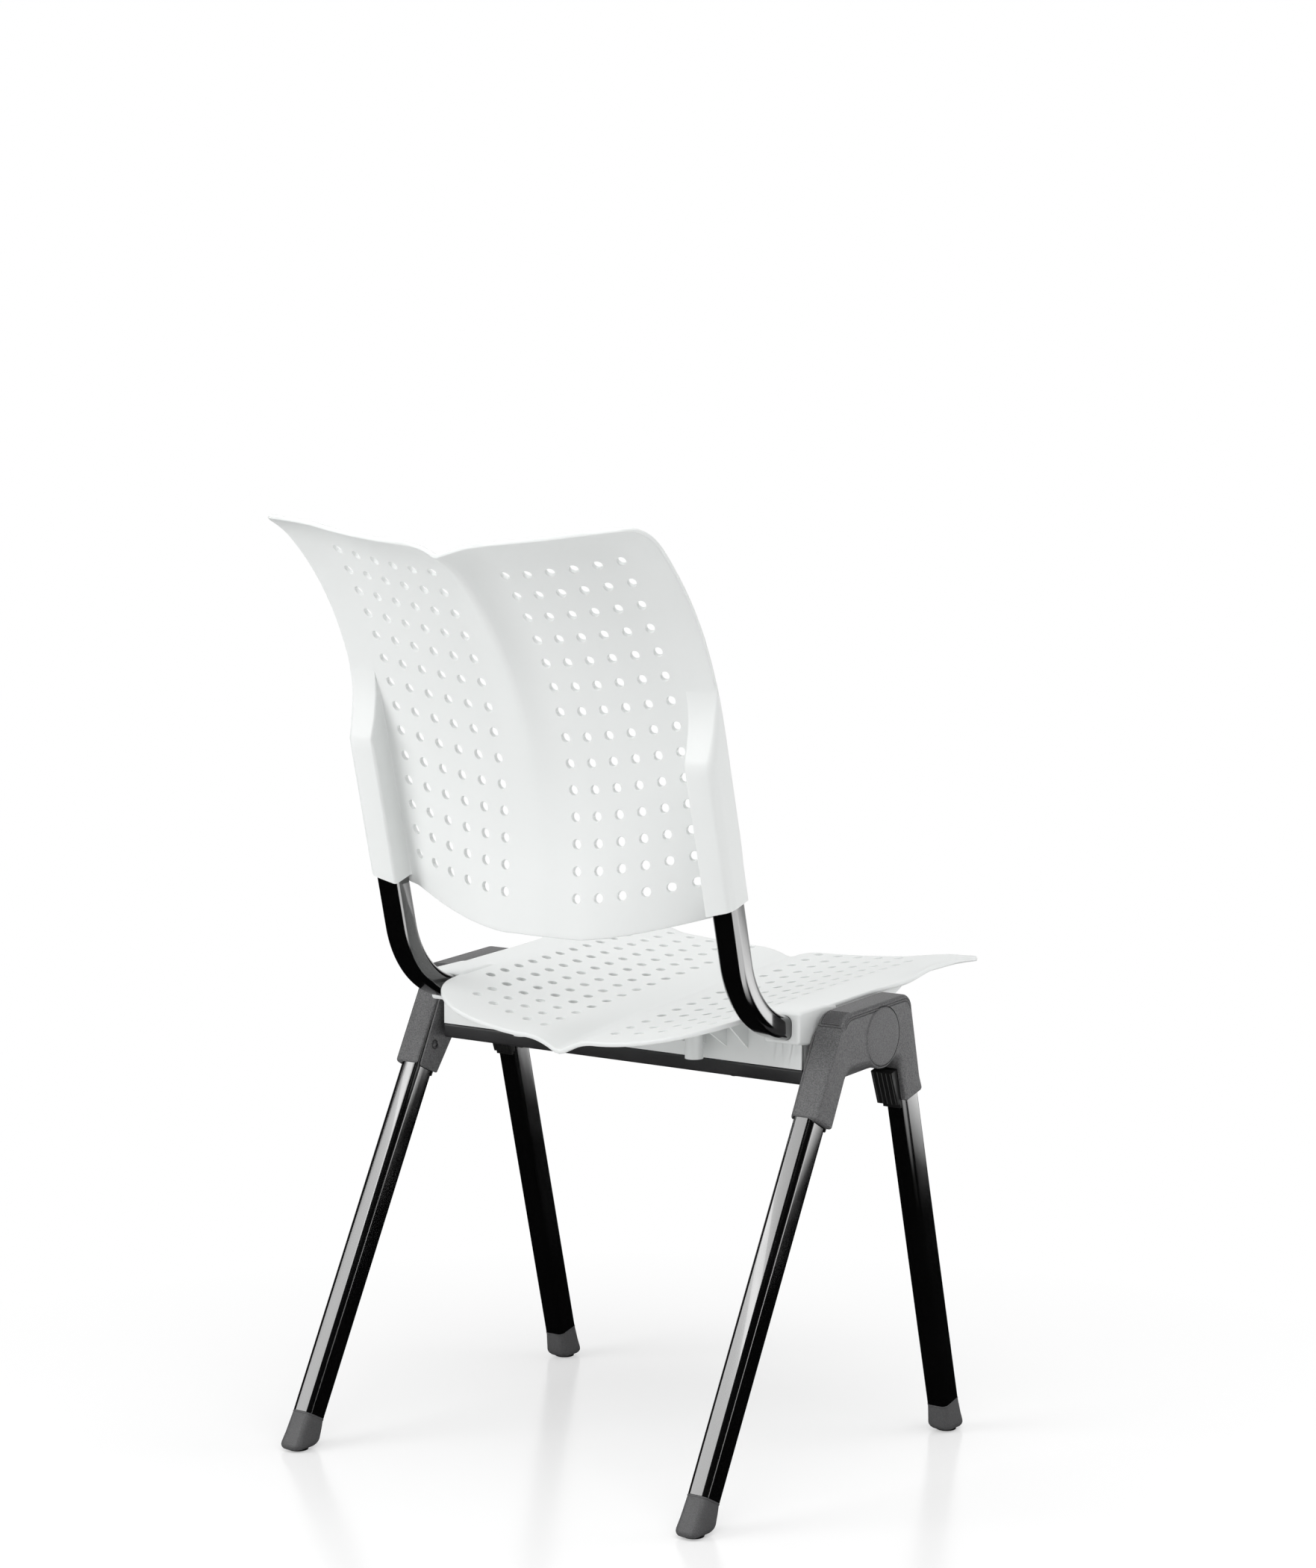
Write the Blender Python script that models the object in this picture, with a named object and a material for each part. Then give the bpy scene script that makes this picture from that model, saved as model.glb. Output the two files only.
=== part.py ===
# Four-legged conference chair with a perforated seat and back.
# The chair faces -Y, Z is up, and the floor is at Z = 0.
# The sitter's left side is +X. All sizes are in metres.

import math

import bmesh
import bpy
from mathutils import Vector
from mathutils.geometry import delaunay_2d_cdt

MM = 0.001

# The origin is the middle of the footprint box on the floor.
DATUM_Y = 11.55 * MM

# General fit.
GAP = 0.3 * MM
SHELL_THICKNESS = 4.5 * MM
RIM_BULGE = 1.2 * MM

# Leg frames.
REAR_LEG_X = 240.2 * MM
FRONT_LEG_X = 241.8 * MM
LEG_DEPTH = 28.0 * MM
LEG_WIDTH = 23.5 * MM
LEG_CORNER = 8.0 * MM
LEG_WALL = 1.8 * MM
REAR_FOOT_Y = 218.4 * MM
REAR_SLOPE = -0.5335
FRONT_FOOT_Y = -221.0 * MM
FRONT_SLOPE = 0.2494
LEG_TOP_Z = 397.0 * MM
CAP_TOP_Z = 31.5 * MM
CAP_BOTTOM_Z = 2.0 * MM
CAP_FLARE = 1.7 * MM
CAP_SPIGOT = 24.0 * MM

# Side brackets.
BRACKET_IN = 228.5 * MM
BRACKET_OUT = 257.5 * MM
BRACKET_WALL = 4.3 * MM
SOCKET_HALF = 15.3 * MM
REAR_SOCKET_Z = 354.5 * MM
FRONT_SOCKET_Z = 357.5 * MM
ARCH_TOP_Z = 397.0 * MM
CAVITY_FLOOR_Z = 402.0 * MM
BRACKET_TOP_REAR_Z = 454.6 * MM
BRACKET_TOP_FRONT_Z = 460.3 * MM
BRACKET_TOP_REAR_Y = -14.0 * MM
BRACKET_TOP_FRONT_Y = -112.0 * MM
TOP_REAR_RADIUS = 22.0 * MM
TOP_FRONT_RADIUS = 18.0 * MM
COVER_IN = 226.0 * MM
COVER_LOW_Z = 382.0 * MM
CLAMP_IN = 230.6 * MM
CLAMP_OUT = 250.6 * MM
PAD_THICKNESS = 2.2 * MM
PAD_WIDTH = 21.0 * MM

# Tilt hinge.
PIVOT_Y = -72.5 * MM
PIVOT_Z = 425.0 * MM
HUB_RADIUS = 31.5 * MM
DISC_RADIUS = 29.0 * MM
DISC_DEPTH = 3.0 * MM
DISC_PROUD = 0.8 * MM
PIN_RADIUS = 8.0 * MM
BUSH_RADIUS = 14.0 * MM
BOSS_RADIUS = 20.0 * MM
ARM_IN = 197.0 * MM
ARM_OUT = 212.0 * MM
ARM_RADIUS = 17.0 * MM

# Fixed stretcher between the brackets.
STRETCHER_Y = -111.0 * MM
STRETCHER_Z = 416.5 * MM
STRETCHER_DEPTH = 28.0 * MM
STRETCHER_HEIGHT = 14.0 * MM
STRETCHER_HALF = 246.0 * MM

# Tilting carrier under the seat.
BAR_HALF = 219.0 * MM
BAR_DEPTH = 30.0 * MM
BAR_TOP_Z = 400.0 * MM
BAR_HEIGHT = 14.6 * MM
REAR_BAR_Y = -5.0 * MM
FRONT_BAR_Y = -171.5 * MM
RAIL_X = 202.0 * MM
RAIL_WIDTH = 24.0 * MM
RAIL_HEIGHT = 18.5 * MM
BAR_WALL = 2.0 * MM

# Back tubes.
TUBE_X = 202.6 * MM
TUBE_WIDTH = 28.0 * MM
TUBE_DEPTH = 23.0 * MM
TUBE_CORNER = 8.0 * MM
TUBE_WALL = 2.0 * MM
TUBE_LEAN = math.radians(13.5)
TUBE_BEND_Y = 97.5 * MM
TUBE_BEND_Z = 513.0 * MM
TUBE_BEND_RADIUS = 95.0 * MM
TUBE_TOP_Z = 700.0 * MM
TUBE_END_Y = -8.0 * MM
BEND_STEPS = 7

# Perforations, shared by both shells.
HOLE_FIRST = 43.0 * MM
HOLE_PITCH = 25.0 * MM
HOLE_COLUMNS = 6
HOLE_RADIUS = 5.4 * MM
HOLE_SIDES = 5

# Back shell: the middle and the wing are each a straight run and an arc.
BACK_ROWS = 14
MIDDLE_LEAN = math.radians(-2.2)
MIDDLE_Y = 132.4 * MM
MIDDLE_Z = 589.5 * MM
MIDDLE_ROW = 12.04
MIDDLE_RADIUS = 396.0 * MM
MIDDLE_PITCH = 26.16 * MM
WING_LEAN = math.radians(12.1)
WING_Y = 132.1 * MM
WING_Z = 691.6 * MM
WING_ROW = 8.87
WING_RADIUS = 487.0 * MM
WING_PITCH = 25.47 * MM
WING_AT = 124.6 * MM
WING_POWER_Y = 1.62
WING_POWER_Z = 1.40
BACK_HALF = 218.4 * MM
BACK_NOTCH_FLARE = 9.0 * MM
MIDDLE_CURL = 99.0 * MM
WING_CURL = 68.0 * MM
BACK_BOTTOM_ROW = 14.5
BACK_KEEL_LOW = 2.0 * MM
BACK_KEEL_RISE = 18.0 * MM
EAR_BASE = 2.5 * MM
EAR_FLARE = 18.0 * MM
SLEEVE_WIDTH = 33.0 * MM
SLEEVE_HALF = 16.0 * MM
SLEEVE_CORNER = 6.0 * MM
SLEEVE_LOW_Z = 563.0 * MM
SLEEVE_FULL_Z = 704.0 * MM
SLEEVE_HIGH_Z = 782.0 * MM
SLEEVE_FACE = 9.8 * MM

# Seat shell.
SEAT_Z = 432.45 * MM
SEAT_SLOPE = -0.0883
SEAT_WING = 20.8 * MM
SEAT_WING_SLOPE = 0.02
SEAT_WING_CURVE = -0.08
SEAT_WING_POWER = 1.52
SEAT_FLAT_AT = 182.0 * MM
SEAT_KEEL = 9.5 * MM
SEAT_REAR_Y = 105.5 * MM
SEAT_FRONT_Y = -305.0 * MM
SEAT_ROLL = 6.0 * MM
SEAT_HALF = 224.8 * MM
BOX_IN = 184.0 * MM
BOX_REAR_Y = 24.5 * MM
BOX_FRONT_Y = -22.0 * MM
BOX_LOW_Z = 427.0 * MM
SKIRT_Y = 10.5 * MM
SKIRT_THICKNESS = 3.5 * MM
SKIRT_HALF = 218.7 * MM
GUSSET_FIRST = 55.6 * MM
GUSSET_PITCH = 25.1 * MM
GUSSETS = 5
GUSSET_THICKNESS = 2.2 * MM
GUSSET_REACH_Y = 62.0 * MM
REAR_BOSS_X = 131.0 * MM
REAR_BOSS_Y = -3.5 * MM
FRONT_BOSS_X = 106.0 * MM
FRONT_BOSS_Y = -171.5 * MM
BOSS_OUTER = 8.0 * MM
LOOSE_BOSS_X = 105.0 * MM
LOOSE_BOSS_Y = 27.0 * MM
LOOSE_BOSS_RADIUS = 9.0 * MM
SCREW_RADIUS = 2.5 * MM
SCREW_HEAD = 4.8 * MM


def clear_scene():
    for thing in list(bpy.data.objects):
        bpy.data.objects.remove(thing, do_unlink=True)


def finish_material(name, colour, roughness, metallic=0.0, coat=0.0):
    material = bpy.data.materials.new(name)
    material.use_nodes = True
    shader = material.node_tree.nodes["Principled BSDF"]
    shader.inputs["Base Color"].default_value = (colour[0], colour[1], colour[2], 1.0)
    shader.inputs["Roughness"].default_value = roughness
    shader.inputs["Metallic"].default_value = metallic
    shader.inputs["Coat Weight"].default_value = coat
    material.diffuse_color = (colour[0], colour[1], colour[2], 1.0)
    return material


def make(name, verts, faces, material, sharp=32.0, origin=(0.0, 0.0, 0.0)):
    """Build a closed mesh object whose origin is the given point."""
    base = Vector(origin)
    mesh = bpy.data.meshes.new(name)
    mesh.from_pydata([Vector(v) - base for v in verts], [], faces)
    work = bmesh.new()
    work.from_mesh(mesh)
    bmesh.ops.recalc_face_normals(work, faces=work.faces)
    work.to_mesh(mesh)
    work.free()
    mesh.materials.append(material)
    mesh.shade_smooth()
    mesh.set_sharp_from_angle(angle=math.radians(sharp))
    thing = bpy.data.objects.new(name, mesh)
    thing.location = base + Vector((0.0, DATUM_Y, 0.0))
    bpy.context.scene.collection.objects.link(thing)
    return thing


def helper(name, verts, faces, material):
    """A tool body for a Boolean, kept out of the render."""
    thing = make(name, verts, faces, material)
    thing.hide_render = True
    thing.display_type = "WIRE"
    return thing


def combine(target, tool, operation):
    step = target.modifiers.new(tool.name, "BOOLEAN")
    step.operation = operation
    step.solver = "EXACT"
    step.object = tool


def soften(target, width, segments=2, angle=40.0):
    step = target.modifiers.new("edge", "BEVEL")
    step.width = width
    step.segments = segments
    step.limit_method = "ANGLE"
    step.angle_limit = math.radians(angle)
    step.use_clamp_overlap = True


def together(parts):
    """Join several vertex and face lists into one."""
    verts = []
    faces = []
    for part_verts, part_faces in parts:
        start = len(verts)
        verts.extend(part_verts)
        faces.extend([tuple(start + i for i in face) for face in part_faces])
    return verts, faces


def rounded_rect(width, depth, radius, steps=2):
    """Closed outline, width along the first axis and depth along the second."""
    points = []
    for quarter in range(4):
        turn = quarter * math.pi / 2.0
        sx = 1.0 if quarter in (0, 3) else -1.0
        sy = 1.0 if quarter in (0, 1) else -1.0
        cx = sx * (width / 2.0 - radius)
        cy = sy * (depth / 2.0 - radius)
        for step in range(steps + 1):
            angle = turn + step * math.pi / 2.0 / steps
            points.append((cx + radius * math.cos(angle), cy + radius * math.sin(angle)))
    return points


def loft(rings, cap_start=True, cap_end=True):
    """Skin a list of equal rings of points."""
    count = len(rings[0])
    verts = [point for ring in rings for point in ring]
    faces = []
    for level in range(len(rings) - 1):
        low = level * count
        high = low + count
        for i in range(count):
            j = (i + 1) % count
            faces.append((low + i, low + j, high + j, high + i))
    if cap_start:
        faces.append(tuple(range(count - 1, -1, -1)))
    if cap_end:
        last = (len(rings) - 1) * count
        faces.append(tuple(range(last, last + count)))
    return verts, faces


def ring_body(rings_outer, rings_inner):
    """A tube wall between an outer and an inner set of rings."""
    count = len(rings_outer[0])
    levels = len(rings_outer)
    verts = [p for ring in rings_outer for p in ring] + [p for ring in rings_inner for p in ring]
    shift = levels * count
    faces = []
    for level in range(levels - 1):
        low = level * count
        high = low + count
        for i in range(count):
            j = (i + 1) % count
            faces.append((low + i, low + j, high + j, high + i))
            faces.append((shift + low + j, shift + low + i, shift + high + i, shift + high + j))
    for i in range(count):
        j = (i + 1) % count
        last = (levels - 1) * count
        faces.append((i, shift + i, shift + j, j))
        faces.append((last + j, shift + last + j, shift + last + i, last + i))
    return verts, faces


def side_rings(path, outline, x_centre):
    """Place an outline square to a path in the YZ plane; the outline's first axis is X."""
    rings = []
    for index, (y, z) in enumerate(path):
        before = path[max(index - 1, 0)]
        after = path[min(index + 1, len(path) - 1)]
        first = Vector((y - before[0], z - before[1]))
        second = Vector((after[0] - y, after[1] - z))
        if first.length == 0:
            first = second
        if second.length == 0:
            second = first
        along = (first.normalized() + second.normalized()).normalized()
        stretch = 1.0 / max(along.dot(second.normalized()), 0.5)
        across = Vector((-along[1], along[0])) * stretch
        ring = []
        for u, v in outline:
            ring.append((x_centre + u, y + across[0] * v, z + across[1] * v))
        rings.append(ring)
    return rings


def prism(outline, x_low, x_high):
    """Extrude a YZ outline along X."""
    low = [(x_low, y, z) for y, z in outline]
    high = [(x_high, y, z) for y, z in outline]
    return loft([low, high])


def box(x_range, y_range, z_range):
    outline = [
        (y_range[0], z_range[0]),
        (y_range[1], z_range[0]),
        (y_range[1], z_range[1]),
        (y_range[0], z_range[1]),
    ]
    return prism(outline, x_range[0], x_range[1])


def turned(profile, centre, axis, segments=20, hollow=False):
    """Turn (radius, distance) points about an axis through the centre."""
    centre = Vector(centre)
    axis = Vector(axis).normalized()
    side = Vector((0.0, 0.0, 1.0)) if abs(axis.z) < 0.9 else Vector((0.0, 1.0, 0.0))
    first = axis.cross(side).normalized()
    second = axis.cross(first)
    rings = []
    for radius, distance in profile:
        ring = []
        for i in range(segments):
            angle = 2.0 * math.pi * i / segments
            reach = first * (radius * math.cos(angle)) + second * (radius * math.sin(angle))
            ring.append(tuple(centre + axis * distance + reach))
        rings.append(ring)
    if hollow:
        verts, faces = loft(rings + [rings[0]], False, False)
        count = segments
        keep = len(rings) * count
        faces = [tuple(i if i < keep else i - keep for i in face) for face in faces]
        return verts[:keep], faces
    return loft(rings)


def arc_points(centre, radius, start, end, steps):
    points = []
    for i in range(steps + 1):
        angle = math.radians(start + (end - start) * i / steps)
        points.append((centre[0] + radius * math.cos(angle), centre[1] + radius * math.sin(angle)))
    return points


def fillet(before, corner, after, radius, steps):
    """Points of an arc that rounds one corner of an outline."""
    c = Vector(corner)
    a = (Vector(before) - c).normalized()
    b = (Vector(after) - c).normalized()
    half = math.acos(max(-1.0, min(1.0, a.dot(b)))) / 2.0
    reach = radius / math.tan(half)
    middle = c + (a + b).normalized() * (radius / math.sin(half))
    start = c + a * reach - middle
    end = c + b * reach - middle
    points = []
    for i in range(steps + 1):
        share = i / steps
        turn = start.lerp(end, share)
        points.append(tuple(middle + turn.normalized() * radius))
    return points


def rounded_outline(corners, steps=3):
    """Outline from (y, z, radius) corners."""
    points = []
    count = len(corners)
    for i, (y, z, radius) in enumerate(corners):
        if radius <= 0.0:
            points.append((y, z))
            continue
        before = corners[i - 1][:2]
        after = corners[(i + 1) % count][:2]
        points.extend(fillet(before, (y, z), after, radius, steps))
    return points


# Leg lines

def leg_point(place, z):
    if place == "rear":
        return REAR_FOOT_Y + REAR_SLOPE * z
    return FRONT_FOOT_Y + FRONT_SLOPE * z


def leg_x(place):
    return REAR_LEG_X if place == "rear" else FRONT_LEG_X


def leg_direction(place):
    slope = REAR_SLOPE if place == "rear" else FRONT_SLOPE
    return Vector((slope, 1.0)).normalized()


# Seat surface

def seat_height(w, y):
    """Height of the seat's upper face at half width w."""
    w = abs(w)
    u = max(0.0, min(w, SEAT_FLAT_AT) - HOLE_FIRST) / (125.6 * MM)
    wing = SEAT_WING + SEAT_WING_SLOPE * y + SEAT_WING_CURVE * y * y
    keel = SEAT_KEEL + 5.0 * MM * max(0.0, min(1.0, y / (100.0 * MM)))
    fold = keel * max(0.0, 1.0 - w / HOLE_FIRST) ** 2
    start = -288.0 * MM - 22.0 * MM * max(0.0, min(1.0, (w - 140.0 * MM) / (50.0 * MM)))
    roll = SEAT_ROLL * max(0.0, min(1.0, (start - y) / (17.0 * MM))) ** 2
    return SEAT_Z + SEAT_SLOPE * y - 0.004 * y * y + wing * u ** SEAT_WING_POWER - fold - roll


def seat_point(w, y):
    return Vector((w, y, seat_height(w, y)))


def seat_hole(column, row):
    w = HOLE_FIRST + (HOLE_PITCH + 0.1 * MM) * column
    first = (-30.6 - 2.2 * column - 0.3 * column * column) * MM
    pitch = (25.3 - 0.42 * column) * MM
    return w, first - pitch * row


# Back surface

def run_and_arc(row, y, z, lean, tangent_row, radius, pitch, curl):
    """Straight run, then an arc, then from the first row up a tighter curl."""
    reach = (tangent_row - max(0.0, row)) * pitch
    if reach < 0.0:
        return y + reach * math.sin(lean), z + reach * math.cos(lean)
    turn = lean + reach / radius
    y += radius * (math.cos(lean) - math.cos(turn))
    z += radius * (math.sin(turn) - math.sin(lean))
    end = turn + max(0.0, -row) * pitch / curl
    return y + curl * (math.cos(turn) - math.cos(end)), z + curl * (math.sin(end) - math.sin(turn))


def tube_line(z):
    """Y of the back tube's centre line on its straight upper run."""
    return TUBE_BEND_Y + (z - TUBE_BEND_Z) * math.tan(TUBE_LEAN)


def back_point(w, row):
    """Point of the rear face at half width w and row, counted down from the top row."""
    width = abs(w)
    middle = run_and_arc(row, MIDDLE_Y, MIDDLE_Z, MIDDLE_LEAN, MIDDLE_ROW, MIDDLE_RADIUS,
                         MIDDLE_PITCH, MIDDLE_CURL)
    wing = run_and_arc(row, WING_Y, WING_Z, WING_LEAN, WING_ROW, WING_RADIUS,
                       WING_PITCH, WING_CURL)
    u = max(0.0, width - HOLE_FIRST) / WING_AT
    share_y = u ** WING_POWER_Y
    share_z = u ** WING_POWER_Z
    y = middle[0] * (1.0 - share_y) + wing[0] * share_y
    z = middle[1] * (1.0 - share_z) + wing[1] * share_z
    depth = BACK_KEEL_LOW + BACK_KEEL_RISE * max(0.0, (10.0 - row) / 10.0) ** 1.3
    depth += BACK_NOTCH_FLARE * max(0.0, (1.0 - row) / 2.0) ** 2
    y += depth * max(0.0, 1.0 - width / HOLE_FIRST) ** 2
    high = max(0.0, (5.5 - row) / 5.5)
    out = max(0.0, (width - 160.0 * MM) / (58.4 * MM))
    y += (EAR_BASE + EAR_FLARE * high ** 2.6) * out ** 1.5
    if width > 170.0 * MM and row > 4.0:
        face = tube_line(z) - SLEEVE_FACE / math.cos(TUBE_LEAN)
        y = max(y, face)
    return Vector((w, y, z))


def back_row_at(w, z):
    """Row at which the rear face of the back reaches height z."""
    low = 0.0
    high = BACK_BOTTOM_ROW + 1.0
    for _ in range(40):
        middle = (low + high) / 2.0
        if back_point(w, middle).z > z:
            low = middle
        else:
            high = middle
    return (low + high) / 2.0


def back_hole(column, row):
    return HOLE_FIRST + 24.93 * MM * column, float(row)


# Shell skin

def shell_mesh(half_outline, holes, extra, surface, scale, side):
    """A perforated sheet of even thickness over a surface; one half is drawn and mirrored."""
    points = []
    edges = []
    count = len(half_outline)
    for point in half_outline:
        points.append(Vector((point[0], point[1] * scale)))
    for i in range(count - 1):
        edges.append((i, i + 1))
    seam = count - 1
    seam_rows = [p for p in extra if p[0] == 0.0]
    previous = seam
    for w, row in seam_rows:
        points.append(Vector((0.0, row * scale)))
        edges.append((previous, len(points) - 1))
        previous = len(points) - 1
    edges.append((previous, 0))
    for w, row in extra:
        if w > 0.0:
            points.append(Vector((w, row * scale)))
    rings = []
    for w, row in holes:
        first = len(points)
        for i in range(HOLE_SIDES):
            angle = math.pi / 2.0 + 2.0 * math.pi * i / HOLE_SIDES
            points.append(Vector((
                w + HOLE_RADIUS * math.cos(angle),
                row * scale + HOLE_RADIUS * math.sin(angle),
            )))
        for i in range(HOLE_SIDES):
            edges.append((first + i, first + (i + 1) % HOLE_SIDES))
        rings.append((w, row * scale))
    boundary = list(range(count)) + list(range(count, count + len(seam_rows)))
    result = delaunay_2d_cdt(points, edges, [boundary], 1, 1e-7)
    flat = result[0]
    triangles = []
    for face in result[2]:
        middle = (flat[face[0]] + flat[face[1]] + flat[face[2]]) / 3.0
        inside = False
        for w, q in rings:
            if (middle - Vector((w, q))).length < 0.8 * HOLE_RADIUS:
                inside = True
        if not inside:
            triangles.append(tuple(face))
    params = [(v[0], v[1] / scale) for v in flat]
    mirror = {}
    full = list(params)
    for index, (w, row) in enumerate(params):
        if abs(w) < 1e-6:
            mirror[index] = index
        else:
            mirror[index] = len(full)
            full.append((-w, row))
    triangles = triangles + [(mirror[c], mirror[b], mirror[a]) for a, b, c in triangles]
    step = 0.5 * MM
    outer = []
    inner = []
    normals = []
    for w, row in full:
        seam_point = abs(w) < 1e-6
        at = surface(w, row)
        dw = step if w >= 0.0 else -step
        along_w = (surface(w + dw, row) - at) / dw
        along_row = (surface(w, row + step / scale) - surface(w, row - step / scale)) / (2.0 * step)
        normal = along_w.cross(along_row).normalized()
        if normal.dot(side) < 0.0:
            normal = -normal
        if seam_point:
            normal = Vector((0.0, normal.y, normal.z)).normalized()
        outer.append(at)
        inner.append(at - normal * SHELL_THICKNESS)
        normals.append(normal)
    total = len(full)
    used = {}
    for a, b, c in triangles:
        for pair in ((a, b), (b, c), (c, a)):
            used[pair] = used.get(pair, 0) + 1
    border = [pair for pair in used if (pair[1], pair[0]) not in used]
    next_of = {a: b for a, b in border}
    verts = outer + inner
    faces = list(triangles) + [(total + c, total + b, total + a) for a, b, c in triangles]
    outer_loop = set()
    start = next(i for i, p in enumerate(full) if p == full[0])
    walker = start
    while walker not in outer_loop:
        outer_loop.add(walker)
        walker = next_of[walker]
    rim = {}
    back_of = {b: a for a, b in border}
    for index in outer_loop:
        run = outer[next_of[index]] - outer[back_of[index]]
        away = run.cross(normals[index]).normalized()
        middle = (outer[index] + inner[index]) / 2.0
        rim[index] = len(verts)
        verts.append(middle + away * RIM_BULGE)
    for a, b in border:
        if a in outer_loop:
            faces.append((b, a, rim[a], rim[b]))
            faces.append((rim[b], rim[a], total + a, total + b))
        else:
            faces.append((b, a, total + a, total + b))
    return verts, faces


def back_half_outline():
    points = []
    top = ((0.0, -1.02), (6.0, -1.13), (14.0, -1.36), (22.0, -1.6), (32.0, -1.88), (44.0, -2.1),
           (60.0, -2.27), (82.0, -2.34), (106.0, -2.28), (130.0, -2.2), (155.0, -2.16),
           (180.0, -1.92), (197.0, -1.68), (207.0, -1.55), (214.0, -1.36), (218.5, -1.05),
           (220.0, -0.68), (219.0, 0.0))
    for w, row in top:
        points.append((w * MM, row))
    for row in range(1, 13):
        points.append((BACK_HALF, float(row)))
    points.append((BACK_HALF - 1.2 * MM, 12.9))
    points.append((BACK_HALF - 4.0 * MM, 13.75))
    points.append((208.0 * MM, 14.3))
    for w in (196.0, 180.0, 155.0, 130.0, 106.0, 81.0, 56.0, 28.0, 0.0):
        points.append((w * MM, BACK_BOTTOM_ROW))
    return points


def seat_half_outline():
    points = []
    rear = ((0, 0), (25, 0.5), (60, 1.0), (100, 0.5), (130, -4.5), (150, -13.5), (165, -24.5),
            (177, -39.5), (184, -57.5), (187, -75.5))
    for w, back in rear:
        points.append((w * MM, SEAT_REAR_Y + back * MM))
    points.append((188.5 * MM, BOX_REAR_Y - 4.0 * MM))
    points.append((205.0 * MM, BOX_REAR_Y - 4.0 * MM))
    points.append((219.0 * MM, BOX_REAR_Y - 5.0 * MM))
    points.append((SEAT_HALF - 0.8 * MM, BOX_REAR_Y - 10.0 * MM))
    for y in (-12.0, -37.0, -62.0, -87.0, -112.0):
        points.append((SEAT_HALF - 0.8 * MM, y * MM))
    for w, y in ((226, -137), (228, -162), (230, -187), (231, -212), (231.5, -237), (231, -262)):
        points.append((w * MM, y * MM))
    for w, y in ((229.5, -285), (224.5, -302), (214, -312), (199, -315), (180, -312), (158, -306.5)):
        points.append((w * MM, y * MM))
    for w in (132.0, 106.0, 81.0, 56.0, 28.0, 0.0):
        points.append((w * MM, SEAT_FRONT_Y + (w - 28.0) * 0.012 * MM))
    return points


def sleeve_ring(side, z):
    """Outline of a tube sleeve at height z; its front lies inside the sheet."""
    fade = max(0.0, (z - SLEEVE_FULL_Z) / (SLEEVE_HIGH_Z - SLEEVE_FULL_Z))
    half = SLEEVE_WIDTH / 2.0

    def sheet(u):
        w = TUBE_X + u
        y = back_point(w, back_row_at(w, z)).y
        return (y - tube_line(z)) * math.cos(TUBE_LEAN)

    def rear(u):
        return SLEEVE_HALF * (1.0 - fade) + (sheet(u) - 1.2 * MM) * fade

    points = []
    corner = SLEEVE_CORNER * (1.0 - 0.85 * fade)
    for u in (-half, -half / 3.0, half / 3.0, half):
        points.append((u, sheet(u) - SHELL_THICKNESS / 2.0))
    for step in range(3):
        angle = step * math.pi / 4.0
        u = half - corner + corner * math.cos(angle)
        points.append((u, rear(u) - corner + corner * math.sin(angle)))
    for step in range(3):
        angle = math.pi / 2.0 + step * math.pi / 4.0
        u = -half + corner + corner * math.cos(angle)
        points.append((u, rear(u) - corner + corner * math.sin(angle)))
    return [(side * (TUBE_X + u), tube_line(z) + v / math.cos(TUBE_LEAN), z) for u, v in points]


def build_back(material):
    holes = [back_hole(c, r) for c in range(HOLE_COLUMNS) for r in range(BACK_ROWS)]
    extra = []
    for row in range(BACK_ROWS - 1, -1, -1):
        extra.append((0.0, row + 0.25))
    for row in range(0, BACK_ROWS + 1):
        extra.append((21.0 * MM, row - 0.3))
        extra.append((194.0 * MM, row - 0.1))
    scale = -26.0 * MM
    verts, faces = shell_mesh(back_half_outline(), holes, extra, back_point, scale,
                              Vector((0.0, 1.0, -0.4)))
    shell = make("back_shell", verts, faces, material, 40.0)
    sleeves = []
    bores = []
    for side in (-1.0, 1.0):
        rings = []
        for z in (SLEEVE_LOW_Z, SLEEVE_FULL_Z, 730.0 * MM, 756.0 * MM, SLEEVE_HIGH_Z):
            rings.append(sleeve_ring(side, z))
        sleeves.append(loft(rings))
        outline = rounded_rect(TUBE_WIDTH + 2.0 * GAP, TUBE_DEPTH + 2.0 * GAP, TUBE_CORNER + GAP)
        low = SLEEVE_LOW_Z - 40.0 * MM
        high = TUBE_TOP_Z + GAP
        path = [(tube_line(low), low), (tube_line(high), high)]
        bores.append(loft(side_rings(path, outline, side * TUBE_X)))
    sleeve = helper("tool_sleeves", *together(sleeves), material)
    combine(shell, sleeve, "UNION")
    bore = helper("tool_sleeve_bores", *together(bores), material)
    combine(shell, bore, "DIFFERENCE")
    return shell


def under_strip(stations, thin_axis, low, high, bottom):
    """A wall that hangs from the middle of the seat sheet."""
    rings = []
    for a in stations:
        if thin_axis == "y":
            top = seat_height(a, (low + high) / 2.0) - SHELL_THICKNESS / 2.0
            ring = [(a, low, bottom(a)), (a, high, bottom(a)), (a, high, top), (a, low, top)]
        else:
            top = seat_height((low + high) / 2.0, a) - SHELL_THICKNESS / 2.0
            ring = [(low, a, bottom(a)), (high, a, bottom(a)), (high, a, top), (low, a, top)]
        rings.append(ring)
    return loft(rings)


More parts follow.
